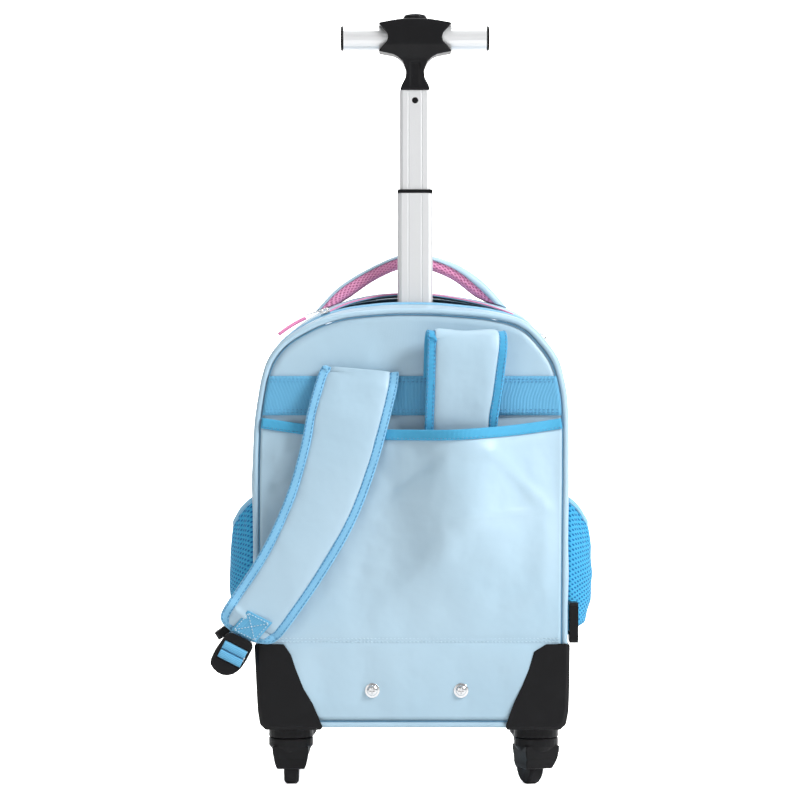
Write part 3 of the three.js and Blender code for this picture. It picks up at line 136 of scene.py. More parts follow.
# Those of the stow pocket: shrink in height, size, depth and seed.
STOW_WRINKLES = ((1, 95, 4.6, 6.0), (0.45, 32, 2.6, 8.0), (1, 14, 0.6, 11.0))
PLEATS = {"height": 0.9, "period": 9.0, "stray": 31.0, "low": 290.0, "ramp": 90.0, "x": 60.0, "reach": 90.0}
BUTTON_SHARE = 0.94  # of the CAD button's width, so that it goes down into the rounded hub
PER_ROW = 5  # smooth steps between two rows of the outline

# The camera stands in the bag's coordinates; the room and the lights are in metres.
CAMERA = {"at": (-11.3, -3000.0, 406.0), "lens": 129.3, "sensor": 36}
ROOM_HALF = 6.0
ROOM_PROFILE = [(-6.0, 0.0), (2.2, 0.0), (2.6, 0.05), (2.9, 0.2), (3.05, 0.5), (3.1, 1.0), (3.1, 6.0)]
ROOM_GLOW = 0.9
WORLD_STRENGTH = 0.32
LIGHTS = [
    {"name": "key", "place": (2.3, -1.5, 2.3), "aim": (0, 0, 0.3), "size": (1.0, 1.2), "power": 112},
    {"name": "fill", "place": (-1.4, -2.8, 0.9), "aim": (0, 0, 0.4), "size": (1.6, 1.6), "power": 9},
    {"name": "top", "place": (-0.3, 0.1, 2.8), "aim": (0, 0, 0.3), "size": (1.4, 1.2), "power": 22},
    {"name": "backdrop", "place": (0, 1.2, 2.6), "aim": (0, 3.1, 1.0), "size": (3.4, 0.8), "power": 70},
]

# From the top middle to the bottom middle: shares of the height, and of the half width right and left.
OUTLINE = np.array([
    (1.0, 0, 0), (0.999, 0.15, 0.15), (0.995, 0.31, 0.29), (0.989, 0.49, 0.42), (0.977, 0.65, 0.54),
    (0.958, 0.755, 0.66), (0.926, 0.84, 0.8), (0.885, 0.92, 0.895), (0.84, 0.963, 0.94), (0.785, 0.99, 0.968),
    (0.71, 1.0, 0.993), (0.6, 1.0, 1.0), (0.45, 0.996, 0.998), (0.3, 0.993, 0.99), (0.2, 0.992, 0.976),
    (0.1, 0.989, 0.963), (0.045, 0.984, 0.955), (0.013, 0.968, 0.941), (0, 0.93, 0.905), (0, 0.72, 0.71),
    (0, 0.6, 0.56), (0, 0.3, 0.3), (0, 0, 0),
])

# Stations of the hanging strap: middle across and up, width, and how far it stands off its top, as shares.
LEFT_STRAP = np.array([
    (-0.319, 0.853, 0.947, 0), (-0.324, 0.8356, 0.971, 0.079), (-0.35, 0.8046, 1, 0.289),
    (-0.403, 0.7288, 1.006, 0.632), (-0.438, 0.6696, 0.976, 0.763), (-0.507, 0.5822, 0.938, 0.842),
    (-0.588, 0.5043, 0.901, 0.947), (-0.705, 0.4192, 0.841, 1), (-0.821, 0.3482, 0.812, 0.947),
    (-0.959, 0.274, 0.8, 0.816), (-1.003, 0.2534, 0.788, 0.684), (-1.03, 0.234, 0.741, 0.553),
])

# Stations of the folded strap: across, off, up and width, as shares.
RIGHT_STRAP = np.array([
    (0.315, 0.286, 0.831, 0.98), (0.321, 0.321, 0.893, 0.99), (0.33, 0.411, 0.9224, 1.02),
    (0.345, 0.643, 0.935, 1.05), (0.356, 0.893, 0.9224, 1.05), (0.348, 1, 0.8767, 1.03),
    (0.333, 0.857, 0.8014, 0.99), (0.317, 0.679, 0.7352, 0.95), (0.309, 0.5, 0.653, 0.95),
    (0.303, 0.429, 0.5662, 0.95),
])

# Stations of the carry handle, as shares: outer edge across and up, inner edge across and up, then how far
# down the cover reaches.
HANDLE_ROWS = np.array([
    (-0.97, 0.083, -0.72, 0.223, 0.16), (-0.74, 0.46, -0.62, 0.31, 0.16), (-0.45, 0.75, -0.37, 0.58, 0.17),
    (-0.14, 0.97, -0.12, 0.76, 0.18), (0.04, 1, 0.04, 0.77, 0.2), (0.21, 0.97, 0.19, 0.75, 0.25),
    (0.49, 0.82, 0.43, 0.59, 0.36), (0.75, 0.54, 0.64, 0.34, 0.46), (0.98, 0.143, 0.74, 0.263, 0.5),
])

# How far a side pocket stands out: share of its height, share of its puff.
POCKET_PROFILE = np.array([(0, 0.03), (0.1, 0.72), (0.3, 0.96), (0.55, 1), (0.8, 0.9), (1, 0.78)])

# Drag folds in the stow pocket's cloth: middle, degrees from level, half length, half width and height in mm.
FOLDS = [
    {"x": 114, "z": 322, "turn": -38, "length": 48, "width": 6, "height": 2.6},
    {"x": 4, "z": 330, "turn": 42, "length": 40, "width": 7, "height": -2.2},
    {"x": 93, "z": 288, "turn": 10, "length": 62, "width": 4.5, "height": 2.0},
    {"x": 18, "z": 236, "turn": 48, "length": 80, "width": 15, "height": 3.2},
    {"x": -131, "z": 322, "turn": 30, "length": 34, "width": 6, "height": -2.4},
    {"x": -120, "z": 352, "turn": 18, "length": 30, "width": 5, "height": 1.8},
    {"x": 136, "z": 366, "turn": 16, "length": 32, "width": 5, "height": 2.2},
    {"x": 96, "z": 196, "turn": 30, "length": 60, "width": 10, "height": 1.8},
]

# The webbing in the ladder lock: along it and off its middle plane, as shares of half its length.
LOCK_LOOP = [
    (0.97, 0.242), (0.8, 0.242), (0.38, 0.242), (0.275, 0.16), (0.268, -0.148), (0.168, -0.258),
    (-0.077, -0.258), (-0.187, -0.148), (-0.206, 0.1), (-0.21, 0.26),
]
LOCK_PASS = [
    (-0.31, 0.33), (-0.315, 0.1), (-0.34, -0.148), (-0.44, -0.265), (-0.723, -0.265), (-0.819, -0.148),
    (-0.826, 0.1), (-0.832, 0.206), (-0.94, 0.32),
]
# From the lock's back to the clip: shares of the way in x, y and z, then the way across the webbing.
ADJUSTER = [
    ((0.1, 0.4, 0.05), (0.65, 0.5, -0.35)),
    ((0.15, 0.95, 0.35), (0.15, 1, 0)),
    ((1, 1, 1), (0, 1, 0)),
]


# Curves and the bag's main form

def to_row(points):
    """Points in the bag's millimetres as points in the frame's metres."""
    return (np.asarray(points, float) + SHIFT) / 1000


def smooth(value):
    share = np.clip(value, 0, 1)
    return share * share * (3 - 2 * share)


def spline(points, steps, closed=False):
    """Catmull-Rom curve through rows of numbers, with steps points from one row to the next."""
    p = np.asarray(points, float)
    if closed:
        p = np.vstack([p[-1], p, p[:2]])
    else:
        p = np.vstack([2 * p[0] - p[1], p, 2 * p[-1] - p[-2]])
    t = np.arange(steps)[:, None] / steps
    rows = []
    for a, b, c, d in zip(p[:-3], p[1:-2], p[2:-1], p[3:]):
        square, cube = 2 * a - 5 * b + 4 * c - d, 3 * b - a - 3 * c + d
        rows.append(0.5 * (2 * b + (c - a) * t + square * t**2 + cube * t**3))
    out = np.vstack(rows)
    return out if closed else np.vstack([out, p[-2]])


def bell(off, reach):
    return np.exp(-((off / reach) ** 2))


def unit(rows):
    return rows / np.linalg.norm(rows, axis=-1, keepdims=True)


def squared(values, power):
    """Sines or cosines drawn out towards -1 and 1, which turns a circle into a rounded box."""
    return np.sign(values) * np.abs(values) ** power


def relax(points, passes):
    """Evens out a path in place; its ends stay."""
    for _ in range(passes):
        points[1:-1] = (points[:-2] + 2 * points[1:-1] + points[2:]) / 4


def wrinkle(points, scale, depth, seed=0.0):
    """Smooth noise in millimetres at each point, for folds of about one size."""
    flat = np.asarray(points, float).reshape(-1, 3) / scale + seed
    values = np.array([noise.noise(Vector(p)) for p in flat])
    return depth * values.reshape(np.asarray(points).shape[:-1])


def wrinkles(points, sizes, seed):
    return sum(wrinkle(points, scale, depth, seed) for scale, depth in sizes)


# The outline as one closed curve of across and up: down the right side, then up the left.
right_side = np.column_stack([OUTLINE[:, 1], OUTLINE[:, 0]])
left_side = np.column_stack([-OUTLINE[1:-1, 2], OUTLINE[1:-1, 0]])[::-1]
RING = spline(np.vstack([right_side, left_side]), PER_ROW, closed=True)
LAST_ROW = len(OUTLINE) - 1
# The outline row of each of its points, which counts down from zero on the left.
RING_ROW = np.arange(len(RING)) / PER_ROW
RING_ROW = np.where(RING_ROW > LAST_ROW, RING_ROW - 2 * LAST_ROW, RING_ROW)


def crown(across, up, y):
    rise = CROWN_RISE * np.sin(math.pi / 2 * smooth(y / CROWN_DEPTH))
    fall = CROWN_FALL * smooth((y - CROWN_DEPTH) / (FRONT_PIPING_Y - CROWN_DEPTH))
    return np.where(up > 0.5, (rise - fall) * np.maximum(0, 1 - (across * CROWN_SPREAD) ** 2), 0)


def ring_points(inset, y, rows=None):
    """The bag's outline at a depth y, drawn in by inset. y may differ from row to row."""
    across, up = (RING if rows is None else RING[rows]).T
    middle = BOTTOM + HEIGHT / 2
    z = middle + (up - 0.5) * (HEIGHT - 2 * np.asarray(inset)) + crown(across, up, y)
    return np.column_stack([across * (HALF_WIDTH - inset), np.broadcast_to(y, across.shape), z])


def dome_share(x, z):
    across = np.maximum(1 - (x / HALF_WIDTH) ** 2, 0)
    up = np.maximum(1 - ((z - BOTTOM) / (HEIGHT / 2) - 1) ** 2, 0)
    return (across * up) ** 2


def back_face(x, z):
    return -BACK_DOME * dome_share(x, z)


def side_at(z, side):
    share = (np.asarray(z, float) - BOTTOM) / HEIGHT
    table = OUTLINE[4:19][::-1]
    return HALF_WIDTH * np.interp(share, table[:, 0], table[:, 1 if side > 0 else 2])


def edge_at(x, z):
    """The half width at a height, on the side that x lies on."""
    return np.where(x < 0, side_at(z, -1), side_at(z, 1))


def stow_top(x):
    return STOW_TOP - STOW_SAG * (1 - (x / HALF_WIDTH) ** 2)


def stow_face(x, z):
    """The y of the stow pocket's outer face."""
    rise = smooth((z - STOW["low"]) / STOW["ramp"])
    plain = STOW["plain"] * (1 - (x / HALF_WIDTH) ** 2)
    full = STOW["full"] * bell(x - STOW["full_x"], STOW["full_reach"])
    edge = smooth((HALF_WIDTH - np.abs(x)) / STOW["edge"])
    return back_face(x, z) - STOW["stand"] - (plain + full) * rise * edge


def fold_height(x, z):
    """How far the drag folds stand out of the stow pocket's face."""
    total = np.zeros_like(x)
    for fold in FOLDS:
        turn = math.radians(fold["turn"])
        dx, dz = x - fold["x"], z - fold["z"]
        along = dx * math.cos(turn) + dz * math.sin(turn)
        off = dz * math.cos(turn) - dx * math.sin(turn) + 4 * np.sin(along / 24)
        total += fold["height"] * np.exp(-((along / fold["length"]) ** 4) - (off / fold["width"]) ** 2)
    return total


def slot_edge(row):
    share = np.minimum(np.abs(row) / SLOT_ROWS, 1)
    return SLOT_ZIP_Y + SLOT_TAPE + GAP + SLOT_WIDTH * (1 - share**2)


def main_start(row):
    beyond = np.clip(np.abs(row) - SLOT_ZIP_ROWS + 1, 0, 1)  # closed just under the end of the tape
    return (slot_edge(row) + SLOT_TAPE + GAP) * (1 - beyond) + SLOT_ZIP_Y * beyond


def front_start(row):
    beyond = np.clip(np.abs(row) - MAIN_ZIP_ROWS + 1, 0, 1)
    return MAIN_ZIP_Y + GAP + (MAIN_ZIP_WIDTH + GAP) * (1 - beyond)


# Meshes

def finish_mesh(obj, material, body, replaced):
    obj.data.materials.append(material)
    for polygon in obj.data.polygons:
        polygon.use_smooth = True
    scene.collection.objects.link(obj)
    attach(obj, body)
    if replaced:
        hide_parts(*replaced)
    return obj


def surface(name, grid, material, slot_name, wrap_u=False, wrap_v=False, replaced=(), thick=0.0):
    """A mesh over a grid of points (rows, columns, 3), with its UVs in millimetres. A tube gets end caps."""
    grid = np.asarray(grid, float)
    rows, cols = grid.shape[:2]
    closed_u = np.vstack([grid, grid[:1]]) if wrap_u else grid
    closed_v = np.concatenate([grid, grid[:, :1]], axis=1) if wrap_v else grid
    u = np.concatenate([[0], np.cumsum(np.linalg.norm(np.diff(closed_u, axis=0), axis=2).mean(1))])
    v = np.concatenate([[0], np.cumsum(np.linalg.norm(np.diff(closed_v, axis=1), axis=2).mean(0))])
    faces, uvs = [], []
    for i in range(len(u) - 1):
        for j in range(len(v) - 1):
            corners = ((i, j), (i + 1, j), (i + 1, j + 1), (i, j + 1))
            faces.append([(a % rows) * cols + b % cols for a, b in corners])
            uvs.extend((u[a], v[b]) for a, b in corners)
    if wrap_v and not wrap_u:
        for i in (0, rows - 1):
            faces.append([i * cols + j for j in range(cols)])
            uvs.extend((u[i], v[j]) for j in range(cols))
    mesh = bpy.data.meshes.new(name)
    mesh.from_pydata(to_row(grid.reshape(-1, 3)).tolist(), [], faces)
    layer = mesh.uv_layers.new(name="UVMap")
    layer.data.foreach_set("uv", np.array(uvs, np.float32).ravel())
    if wrap_v:
        work = bmesh.new()
        work.from_mesh(mesh)
        bmesh.ops.recalc_face_normals(work, faces=work.faces)
        work.to_mesh(mesh)
        work.free()
    obj = bpy.data.objects.new(name, mesh)
    if thick:
        solid = obj.modifiers.new("thickness", "SOLIDIFY")
        solid.thickness = thick / 1000
        solid.offset = 0
    return finish_mesh(obj, material, "bag", replaced)


def frames_along(path, reference, closed=False):
    """The ways to the side and out at each point of a path. reference is the rough way out."""
    path = np.asarray(path, float)
    if closed:
        ahead = np.roll(path, -1, 0) - np.roll(path, 1, 0)
    else:
        ahead = np.gradient(path, axis=0)
    ahead = unit(ahead)
    side = unit(np.cross(ahead, reference))
    return side, np.cross(side, ahead)


def rounded(width, thick, count=20, power=0.6):
    """Section of a flat rounded strip, as pairs of across and out."""
    angle = np.linspace(0, 2 * math.pi, count, endpoint=False)
    across, out = squared(np.cos(angle), power), squared(np.sin(angle), power)
    return np.column_stack([across * width / 2, out * thick / 2])


def section_grid(path, side, normal, section):
    return path[:, None] + side[:, None] * section[None, :, :1] + normal[:, None] * section[None, :, 1:]


def sweep(name, path, reference, section, material, slot_name, closed=False, **more):
    """A strip, cord or binding of one section along a path."""
    path = np.asarray(path, float)
    grid = section_grid(path, *frames_along(path, reference, closed), section)
    return surface(name, grid, material, slot_name, wrap_u=closed, wrap_v=True, **more)


def even_steps(path, step):
    """Points at even steps along a path, and the way ahead at each."""
    path = np.asarray(path, float)
    along = np.concatenate([[0], np.cumsum(np.linalg.norm(np.diff(path, axis=0), axis=1))])
    count = max(int(along[-1] // step), 1)
    marks = (np.arange(count) + 0.5) * along[-1] / count
    points = np.column_stack([np.interp(marks, along, path[:, k]) for k in range(3)])
    ahead = np.column_stack([np.interp(marks, along, np.gradient(path[:, k], along)) for k in range(3)])
    return points, unit(ahead)


def stitches(name, paths, material, step=4.4, length=3.0, width=0.8, height=0.55):
    """Rows of short raised threads along paths on the bag's back."""
    points, faces = [], []
    out = np.array(OUT_OF_BACK)
    for path in paths:
        spots, ahead = even_steps(path, step)
        side = unit(np.cross(ahead, out))
        for spot, way, across in zip(spots, ahead, side):
            start = len(points)
            for along, wide, up in (
                (-0.5, 0, -0.5), (-0.3, -0.5, -0.3), (-0.3, 0.5, -0.3), (0.3, -0.5, -0.3), (0.3, 0.5, -0.3),
                (0.5, 0, -0.5), (-0.25, 0, 1), (0.25, 0, 1),
            ):
                points.append(spot + way * along * length + across * wide * width + out * up * height)
            faces += [[start + k for k in face] for face in (
                (0, 2, 6), (0, 6, 1), (1, 6, 7, 3), (2, 4, 7, 6), (3, 7, 5), (4, 5, 7), (0, 1, 3, 5, 4, 2),
            )]
    mesh = bpy.data.meshes.new(name)
    mesh.from_pydata(to_row(points).tolist(), [], faces)
    return finish_mesh(bpy.data.objects.new(name, mesh), material, "bag", ())


# Materials

class Nodes:
    """A material with one principled shader, and short ways to add texture nodes to it."""

    def __init__(self, name, colour, roughness, metallic=0.0, **sockets):
        self.material = bpy.data.materials.new(name)
        self.material.use_nodes = True
        self.tree = self.material.node_tree
        self.shader = self.tree.nodes["Principled BSDF"]
        self.colour = (*colour, 1.0)
        self.shader.inputs["Base Color"].default_value = self.colour
        self.shader.inputs["Roughness"].default_value = roughness
        self.shader.inputs["Metallic"].default_value = metallic
        for key, value in sockets.items():
            self.shader.inputs[key.replace("_", " ")].default_value = value
        self.height = None

    def node(self, kind, **values):
        made = self.tree.nodes.new(kind)
        for key, value in values.items():
            if key in made.inputs:
                made.inputs[key].default_value = value
            else:
                setattr(made, key, value)
        return made

    def link(self, a, b):
        self.tree.links.new(a, b)

    def maths(self, operation, a, b=None):
        made = self.node("ShaderNodeMath", operation=operation)
        for socket, value in zip(made.inputs, (a, b)):
            if value is None:
                continue
            if isinstance(value, (int, float)):
                socket.default_value = value
            else:
                self.link(value, socket)
        return made.outputs[0]

    def place(self, scale, output="UV"):
        """Coordinates of the surface: UV in millimetres or Object in metres, times scale."""
        source = self.node("ShaderNodeTexCoord")
        mapping = self.node("ShaderNodeMapping")
        mapping.inputs["Scale"].default_value = scale
        self.link(source.outputs[output], mapping.inputs["Vector"])
        return mapping.outputs[0]

    def noise(self, scale, detail, stretch=(1, 1, 1)):
        made = self.node("ShaderNodeTexNoise", Scale=scale, Detail=detail)
        self.link(self.place(stretch, "Object"), made.inputs["Vector"])
        return made.outputs["Fac"]

    def waves(self, period, axis=0, angle=0.0):
        """A soft wave from 0 to 1 along the first or second UV direction, period in millimetres."""
        mapping = self.place((1, 1, 1))
        if angle:
            mapping.node.inputs["Rotation"].default_value = (0, 0, math.radians(angle))
        parts = self.node("ShaderNodeSeparateXYZ")
        self.link(mapping, parts.inputs[0])
        turned = self.maths("MULTIPLY", parts.outputs[axis], 2 * math.pi / period)
        return self.maths("MULTIPLY", self.maths("ADD", self.maths("SINE", turned), 1.0), 0.5)

    def bump(self, height, strength, distance):
        made = self.node("ShaderNodeBump", Strength=strength, Distance=distance)
        self.link(height, made.inputs["Height"])
        if self.height:
            self.link(self.height, made.inputs["Normal"])
        self.height = made.outputs[0]
        self.link(self.height, self.shader.inputs["Normal"])

    def tint(self, factor, other, low, high):
        """The base colour turns to the other one where factor goes from low to high."""
        ramp = self.node("ShaderNodeMapRange")
        ramp.inputs["From Min"].default_value = low
        ramp.inputs["From Max"].default_value = high
        self.link(factor, ramp.inputs["Value"])
        mix = self.node("ShaderNodeMix", data_type="RGBA")
        previous = self.shader.inputs["Base Color"]
        if previous.is_linked:
            self.link(previous.links[0].from_socket, mix.inputs[6])
        else:
            mix.inputs[6].default_value = self.colour
        mix.inputs[7].default_value = (*other, 1.0)
        self.link(ramp.outputs[0], mix.inputs[0])
        self.link(mix.outputs[2], previous)


def cloth_material(name, colour, darker, roughness=0.42):
    m = Nodes(name, colour, roughness, Specular_IOR_Level=0.45, Sheen_Weight=0.06, Coat_Weight=0.12,
              Coat_Roughness=0.3)
    m.tint(m.noise(5, 3), darker, 0.35, 0.75)
    m.bump(m.noise(16, 3), 0.55, 0.006)
    m.bump(m.noise(55, 2), 0.12, 0.0012)
    m.bump(m.maths("ADD", m.waves(0.9, 0), m.waves(0.9, 1)), 0.12, 0.0002)
    return m.material


def ribbed_material(name, colour, groove, period, axis=0, roughness=0.7, strength=0.6):
    m = Nodes(name, colour, roughness, Sheen_Weight=0.15, Specular_IOR_Level=0.3)
    ribs = m.waves(period, axis)
    m.tint(m.maths("SUBTRACT", 1.0, ribs), groove, 0.5, 1.0)
    m.bump(ribs, strength, 0.0006)
    m.bump(m.noise(900, 2), 0.1, 0.0003)
    return m.material


def binding_material(name, colour, groove):
    return ribbed_material(name, colour, groove, 1.3, roughness=0.6, strength=0.35)


def net_material(name, thread, hole, period, roughness=0.75):
    m = Nodes(name, thread, roughness, Sheen_Weight=0.1, Specular_IOR_Level=0.3)
    one = m.waves(period, 0, 58)
    two = m.waves(period, 0, -58)
    cells = m.maths("MULTIPLY", one, two)
    m.tint(cells, hole, 0.3, 0.5)
    m.bump(m.maths("SUBTRACT", 1.0, cells), 0.8, 0.0012)
    return m.material


def plastic_material(name, colour, roughness):
    m = Nodes(name, colour, roughness, Specular_IOR_Level=0.16)
    m.tint(m.noise(40, 3), tuple(c * 1.35 for c in colour), 0.5, 0.9)
    m.bump(m.noise(1400, 2), 0.12, 0.0003)
    return m.material


def metal_material(name, colour, roughness, stretch, metallic=0.5):
    m = Nodes(name, colour, roughness, metallic)
    grain = m.noise(1.0, 3, stretch)
    m.bump(grain, 0.12, 0.0002)
    ramp = m.node("ShaderNodeMapRange")
    ramp.inputs["To Min"].default_value = roughness - 0.06
    ramp.inputs["To Max"].default_value = roughness + 0.08
    m.link(grain, ramp.inputs["Value"])
    m.link(ramp.outputs[0], m.shader.inputs["Roughness"])
    return m.material


PALE = (0.425, 0.585, 0.695)
PALE_DARK = (0.36, 0.53, 0.65)
body_cloth = cloth_material("body_cloth_look", PALE, PALE_DARK)
strap_cloth = cloth_material("strap_cloth_look", (0.405, 0.56, 0.67), PALE_DARK, 0.5)
piping_cloth = cloth_material("piping_look", (0.44, 0.62, 0.745), PALE_DARK, 0.4)
webbing = ribbed_material("webbing_look", (0.15, 0.455, 0.70), (0.075, 0.33, 0.58), 1.5)
binding = binding_material("binding_look", (0.24, 0.53, 0.76), (0.15, 0.43, 0.68))
# A darker copy of the binding's blue, which is painted shade on the folded right strap's binding
shaded_binding = binding_material("shaded_binding_look", (0.07, 0.385, 0.65), (0.03, 0.29, 0.54))
hem_blue = binding_material("hem_look", (0.075, 0.40, 0.65), (0.035, 0.31, 0.55))
seam_blue = ribbed_material("seam_look", (0.16, 0.36, 0.55), (0.09, 0.27, 0.46), 1.2)
elastic = ribbed_material("elastic_look", (0.30, 0.58, 0.78), (0.14, 0.42, 0.66), 2.2, 1)
blue_net = net_material("blue_net_look", (0.05, 0.39, 0.67), (0.003, 0.15, 0.42), 4.0)
pink_net = net_material("pink_net_look", (0.92, 0.38, 0.62), (0.62, 0.17, 0.36), 3.2)
pink_cord = ribbed_material("pink_cord_look", (0.86, 0.30, 0.54), (0.60, 0.14, 0.34), 1.4)
thread = Nodes("thread_look", (0.62, 0.78, 0.88), 0.6, Sheen_Weight=0.2).material
blue_thread = Nodes("blue_thread_look", (0.05, 0.28, 0.53), 0.6, Sheen_Weight=0.2).material
black_plastic = plastic_material("black_plastic_look", (0.008, 0.008, 0.009), 0.36)
grip_plastic = plastic_material("grip_plastic_look", (0.010, 0.010, 0.011), 0.3)
rubber = plastic_material("tyre_look", (0.014, 0.014, 0.016), 0.6)
tube_metal = metal_material("tube_metal_look", (0.84, 0.85, 0.86), 0.34, (900, 900, 8))
bar_metal = metal_material("bar_metal_look", (0.84, 0.85, 0.86), 0.34, (8, 900, 900))
bright_metal = metal_material("bright_metal_look", (0.82, 0.82, 0.83), 0.2, (300, 300, 300), 1.0)


# The bag's shell, zips and pull

def build_shell():
    seam = 2 * PIPING_RADIUS + GAP
    shares = np.append(np.linspace(1, 0.012, 26), 0.0005)

    def front_dome(x, z):
        return FRONT_DOME * dome_share(x, z)

    def panel(end, y, dome, seed):
        edge = ring_points(seam, y)
        middle = np.array([0, y, BOTTOM + HEIGHT / 2])
        grid = middle + (edge[:, None] - middle) * shares[None, :, None]
        offset = dome(grid[..., 0], grid[..., 2])
        grid[..., 1] = y + offset + wrinkles(grid, PANEL_WRINKLES, seed) * (1 - shares**6)
        surface(f"{end}_cloth", grid, body_cloth, "body_cloth", wrap_u=True, replaced=[f"{end}_panel"],
                thick=1.6)

    panel("back", BACK_PIPING_Y, back_face, 3.0)
    panel("front", FRONT_PIPING_Y, front_dome, 9.0)
    round_section = rounded(2 * PIPING_RADIUS, 2 * PIPING_RADIUS, 12, 1.0)
    for end, y in (("back", BACK_PIPING_Y), ("front", FRONT_PIPING_Y)):
        sweep(f"{end}_cording", ring_points(PIPING_RADIUS, y), (0, 1, 0), round_section, piping_cloth,
              "blue_trim", closed=True, replaced=[f"{end}_piping"])
    thin = rounded(1.1, 1.0, 8, 1.0)
    for end, y in (("back", -0.4), ("front", FRONT_PIPING_Y + 1.2)):
        sweep(f"{end}_seam", ring_points(seam + 0.3, y), (0, 1, 0), thin, seam_blue, "blue_trim", closed=True)
    gusset("back_gusset", 4.2, SLOT_ZIP_Y - 0.2, 7, 2.0, 0.6)
    gusset("main_gusset", main_start(RING_ROW), MAIN_ZIP_Y, 15, 5.0, 1.1)
    gusset("front_gusset", front_start(RING_ROW), FRONT_PIPING_Y - 3.2, 11, 7.0, 1.1)


def gusset(node, start, end, cols, seed, puff):
    """A gusset's cloth, which bulges by puff."""
    shares = np.linspace(0, 1, cols)
    grid = np.stack([ring_points(0.0, start + (end - start) * s) for s in shares], axis=1)
    out = unit((grid - (0, 0, BOTTOM + HEIGHT / 2)) * (1, 0, 1))
    arch = np.sin(math.pi * shares)
    bulge = puff * (arch**0.7 - 1) + wrinkles(grid, GUSSET_WRINKLES, seed) * arch
    surface(f"{node}_cloth", grid + out * bulge[..., None], body_cloth, "body_cloth", wrap_u=True,
            replaced=[node], thick=1.5)


def rows_between(limit):
    """Indices of the ring's points from one side over the top to the other, up to an outline row."""
    order = np.argsort(RING_ROW)
    return order[np.abs(RING_ROW[order]) <= limit]


def build_zips():
    slot_rows = rows_between(SLOT_ZIP_ROWS)
    open_rows = rows_between(SLOT_ROWS)
    far = slot_edge(RING_ROW[open_rows])
    row = RING_ROW[slot_rows]

    def tape(name, start, end, rows, node):
        columns = ((0, 0.3), (0.5, 0), (1, -0.3))  # share of the width, and inset
        grid = np.stack([ring_points(inset, start + (end - start) * s, rows) for s, inset in columns], 1)
        return surface(name, grid, binding, "blue_trim", replaced=[node], thick=1.2)

    tape("slot_tape_back", SLOT_ZIP_Y + 0 * row, SLOT_ZIP_Y + SLOT_TAPE + 0 * row, slot_rows, "slot_zip_back")
    tape("slot_tape_front", slot_edge(row), slot_edge(row) + SLOT_TAPE, slot_rows, "slot_zip_front")
    coil = rounded(2.4, 2.0, 10, 1.0)
    near = SLOT_ZIP_Y + SLOT_TAPE - 0.4 + 0 * far
    sweep("slot_coil_back", ring_points(1.0, near, open_rows), (0, 0, 1), coil, pink_cord, "pink_mesh")
    sweep("slot_coil_front", ring_points(-0.6, far + 0.9, open_rows), (0, 0, 1), coil, pink_cord, "pink_mesh")
    main_rows = rows_between(MAIN_ZIP_ROWS)
    across = MAIN_ZIP_Y + GAP
    tape("main_tape", across + 0 * main_rows, across + MAIN_ZIP_WIDTH + 0 * main_rows, main_rows, "main_zip")
    sweep("main_coil", ring_points(-0.3, across + MAIN_ZIP_WIDTH / 2 + 0 * main_rows, main_rows), (0, 0, 1),
          rounded(5.2, 2.6, 12, 0.9), pink_cord, "pink_mesh")


def slider(name, node, slope_sign, tongue=0.0):
    """A zip slider: a waisted body with a bridge over it and, where tongue is given, a flat pull tab."""
    low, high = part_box(node)
    slope = math.atan2(high.z - low.z - SLIDER["height"] / 1000, high.x - low.x) * slope_sign
    centre = (low + high) / 2
    centre += Vector((math.cos(slope), 0, math.sin(slope))) * tongue / 2000
    work = bmesh.new()

    def block(size, middle=(0, 0, 0)):
        made = bmesh.ops.create_cube(work, size=1.0)["verts"]
        bmesh.ops.scale(work, vec=Vector(size) / 1000, verts=made)
        bmesh.ops.translate(work, vec=Vector(middle) / 1000, verts=made)
        return made

    for vert in block(SLIDER["plate"]):
        if vert.co.x < 0:
            vert.co.y *= SLIDER["waist"]
    for x in (-SLIDER["post_x"], SLIDER["post_x"]):
        block(SLIDER["post"], (x, 0, SLIDER["post_z"]))
    block(SLIDER["bridge"], (0, 0, SLIDER["bridge_z"]))
    if tongue:
        overlap, width, thick = SLIDER["tab"]
        block((tongue + overlap, width, thick), (SLIDER["tab_x"] - tongue / 2, 0, SLIDER["tab_z"]))
    bmesh.ops.rotate(work, cent=(0, 0, 0), matrix=Matrix.Rotation(-slope, 3, "Y"), verts=work.verts)
    bmesh.ops.translate(work, vec=centre - Vector((0, 0, SLIDER["sink"] / 1000)), verts=work.verts)
    mesh = bpy.data.meshes.new(name)
    work.to_mesh(mesh)
    work.free()
    obj = bpy.data.objects.new(name, mesh)
    bevel = obj.modifiers.new("edges", "BEVEL")
    bevel.width = 0.0005
    bevel.segments = 2
    return finish_mesh(obj, bright_metal, "bag", [node])


def build_pull():
    """The pull cord of the slot's slider, hanging over the bag's shoulder from the slider's tongue."""
    start = np.array(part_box("zip_pull_cord")[1]) * 1000 - SHIFT - PULL_DIAMETER / 2
    shares = np.linspace(0, 1, 24)[:, None]
    path = start + PULL_REACH * shares
    path[:, 2] += PULL_ARCH * np.sin(math.pi * shares[:, 0])
    section = rounded(PULL_DIAMETER, PULL_DIAMETER, 12, 1.0)
    obj = sweep("pull_cord", path, (0, 1, 0), section, pink_cord, "pink_mesh", replaced=["zip_pull_cord"])


# Shoulder straps and their webbing

def strap_frames(centres, widths, across):
    """Middle, way ahead, way across and way out at each point of a strap, and its pad's half width there."""
    ahead = unit(np.gradient(centres, axis=0))
    across = unit(across - ahead * (across * ahead).sum(1)[:, None])
    return centres, ahead, across, np.cross(ahead, across), widths / 2 - RIM_WIDTH - GAP / 2


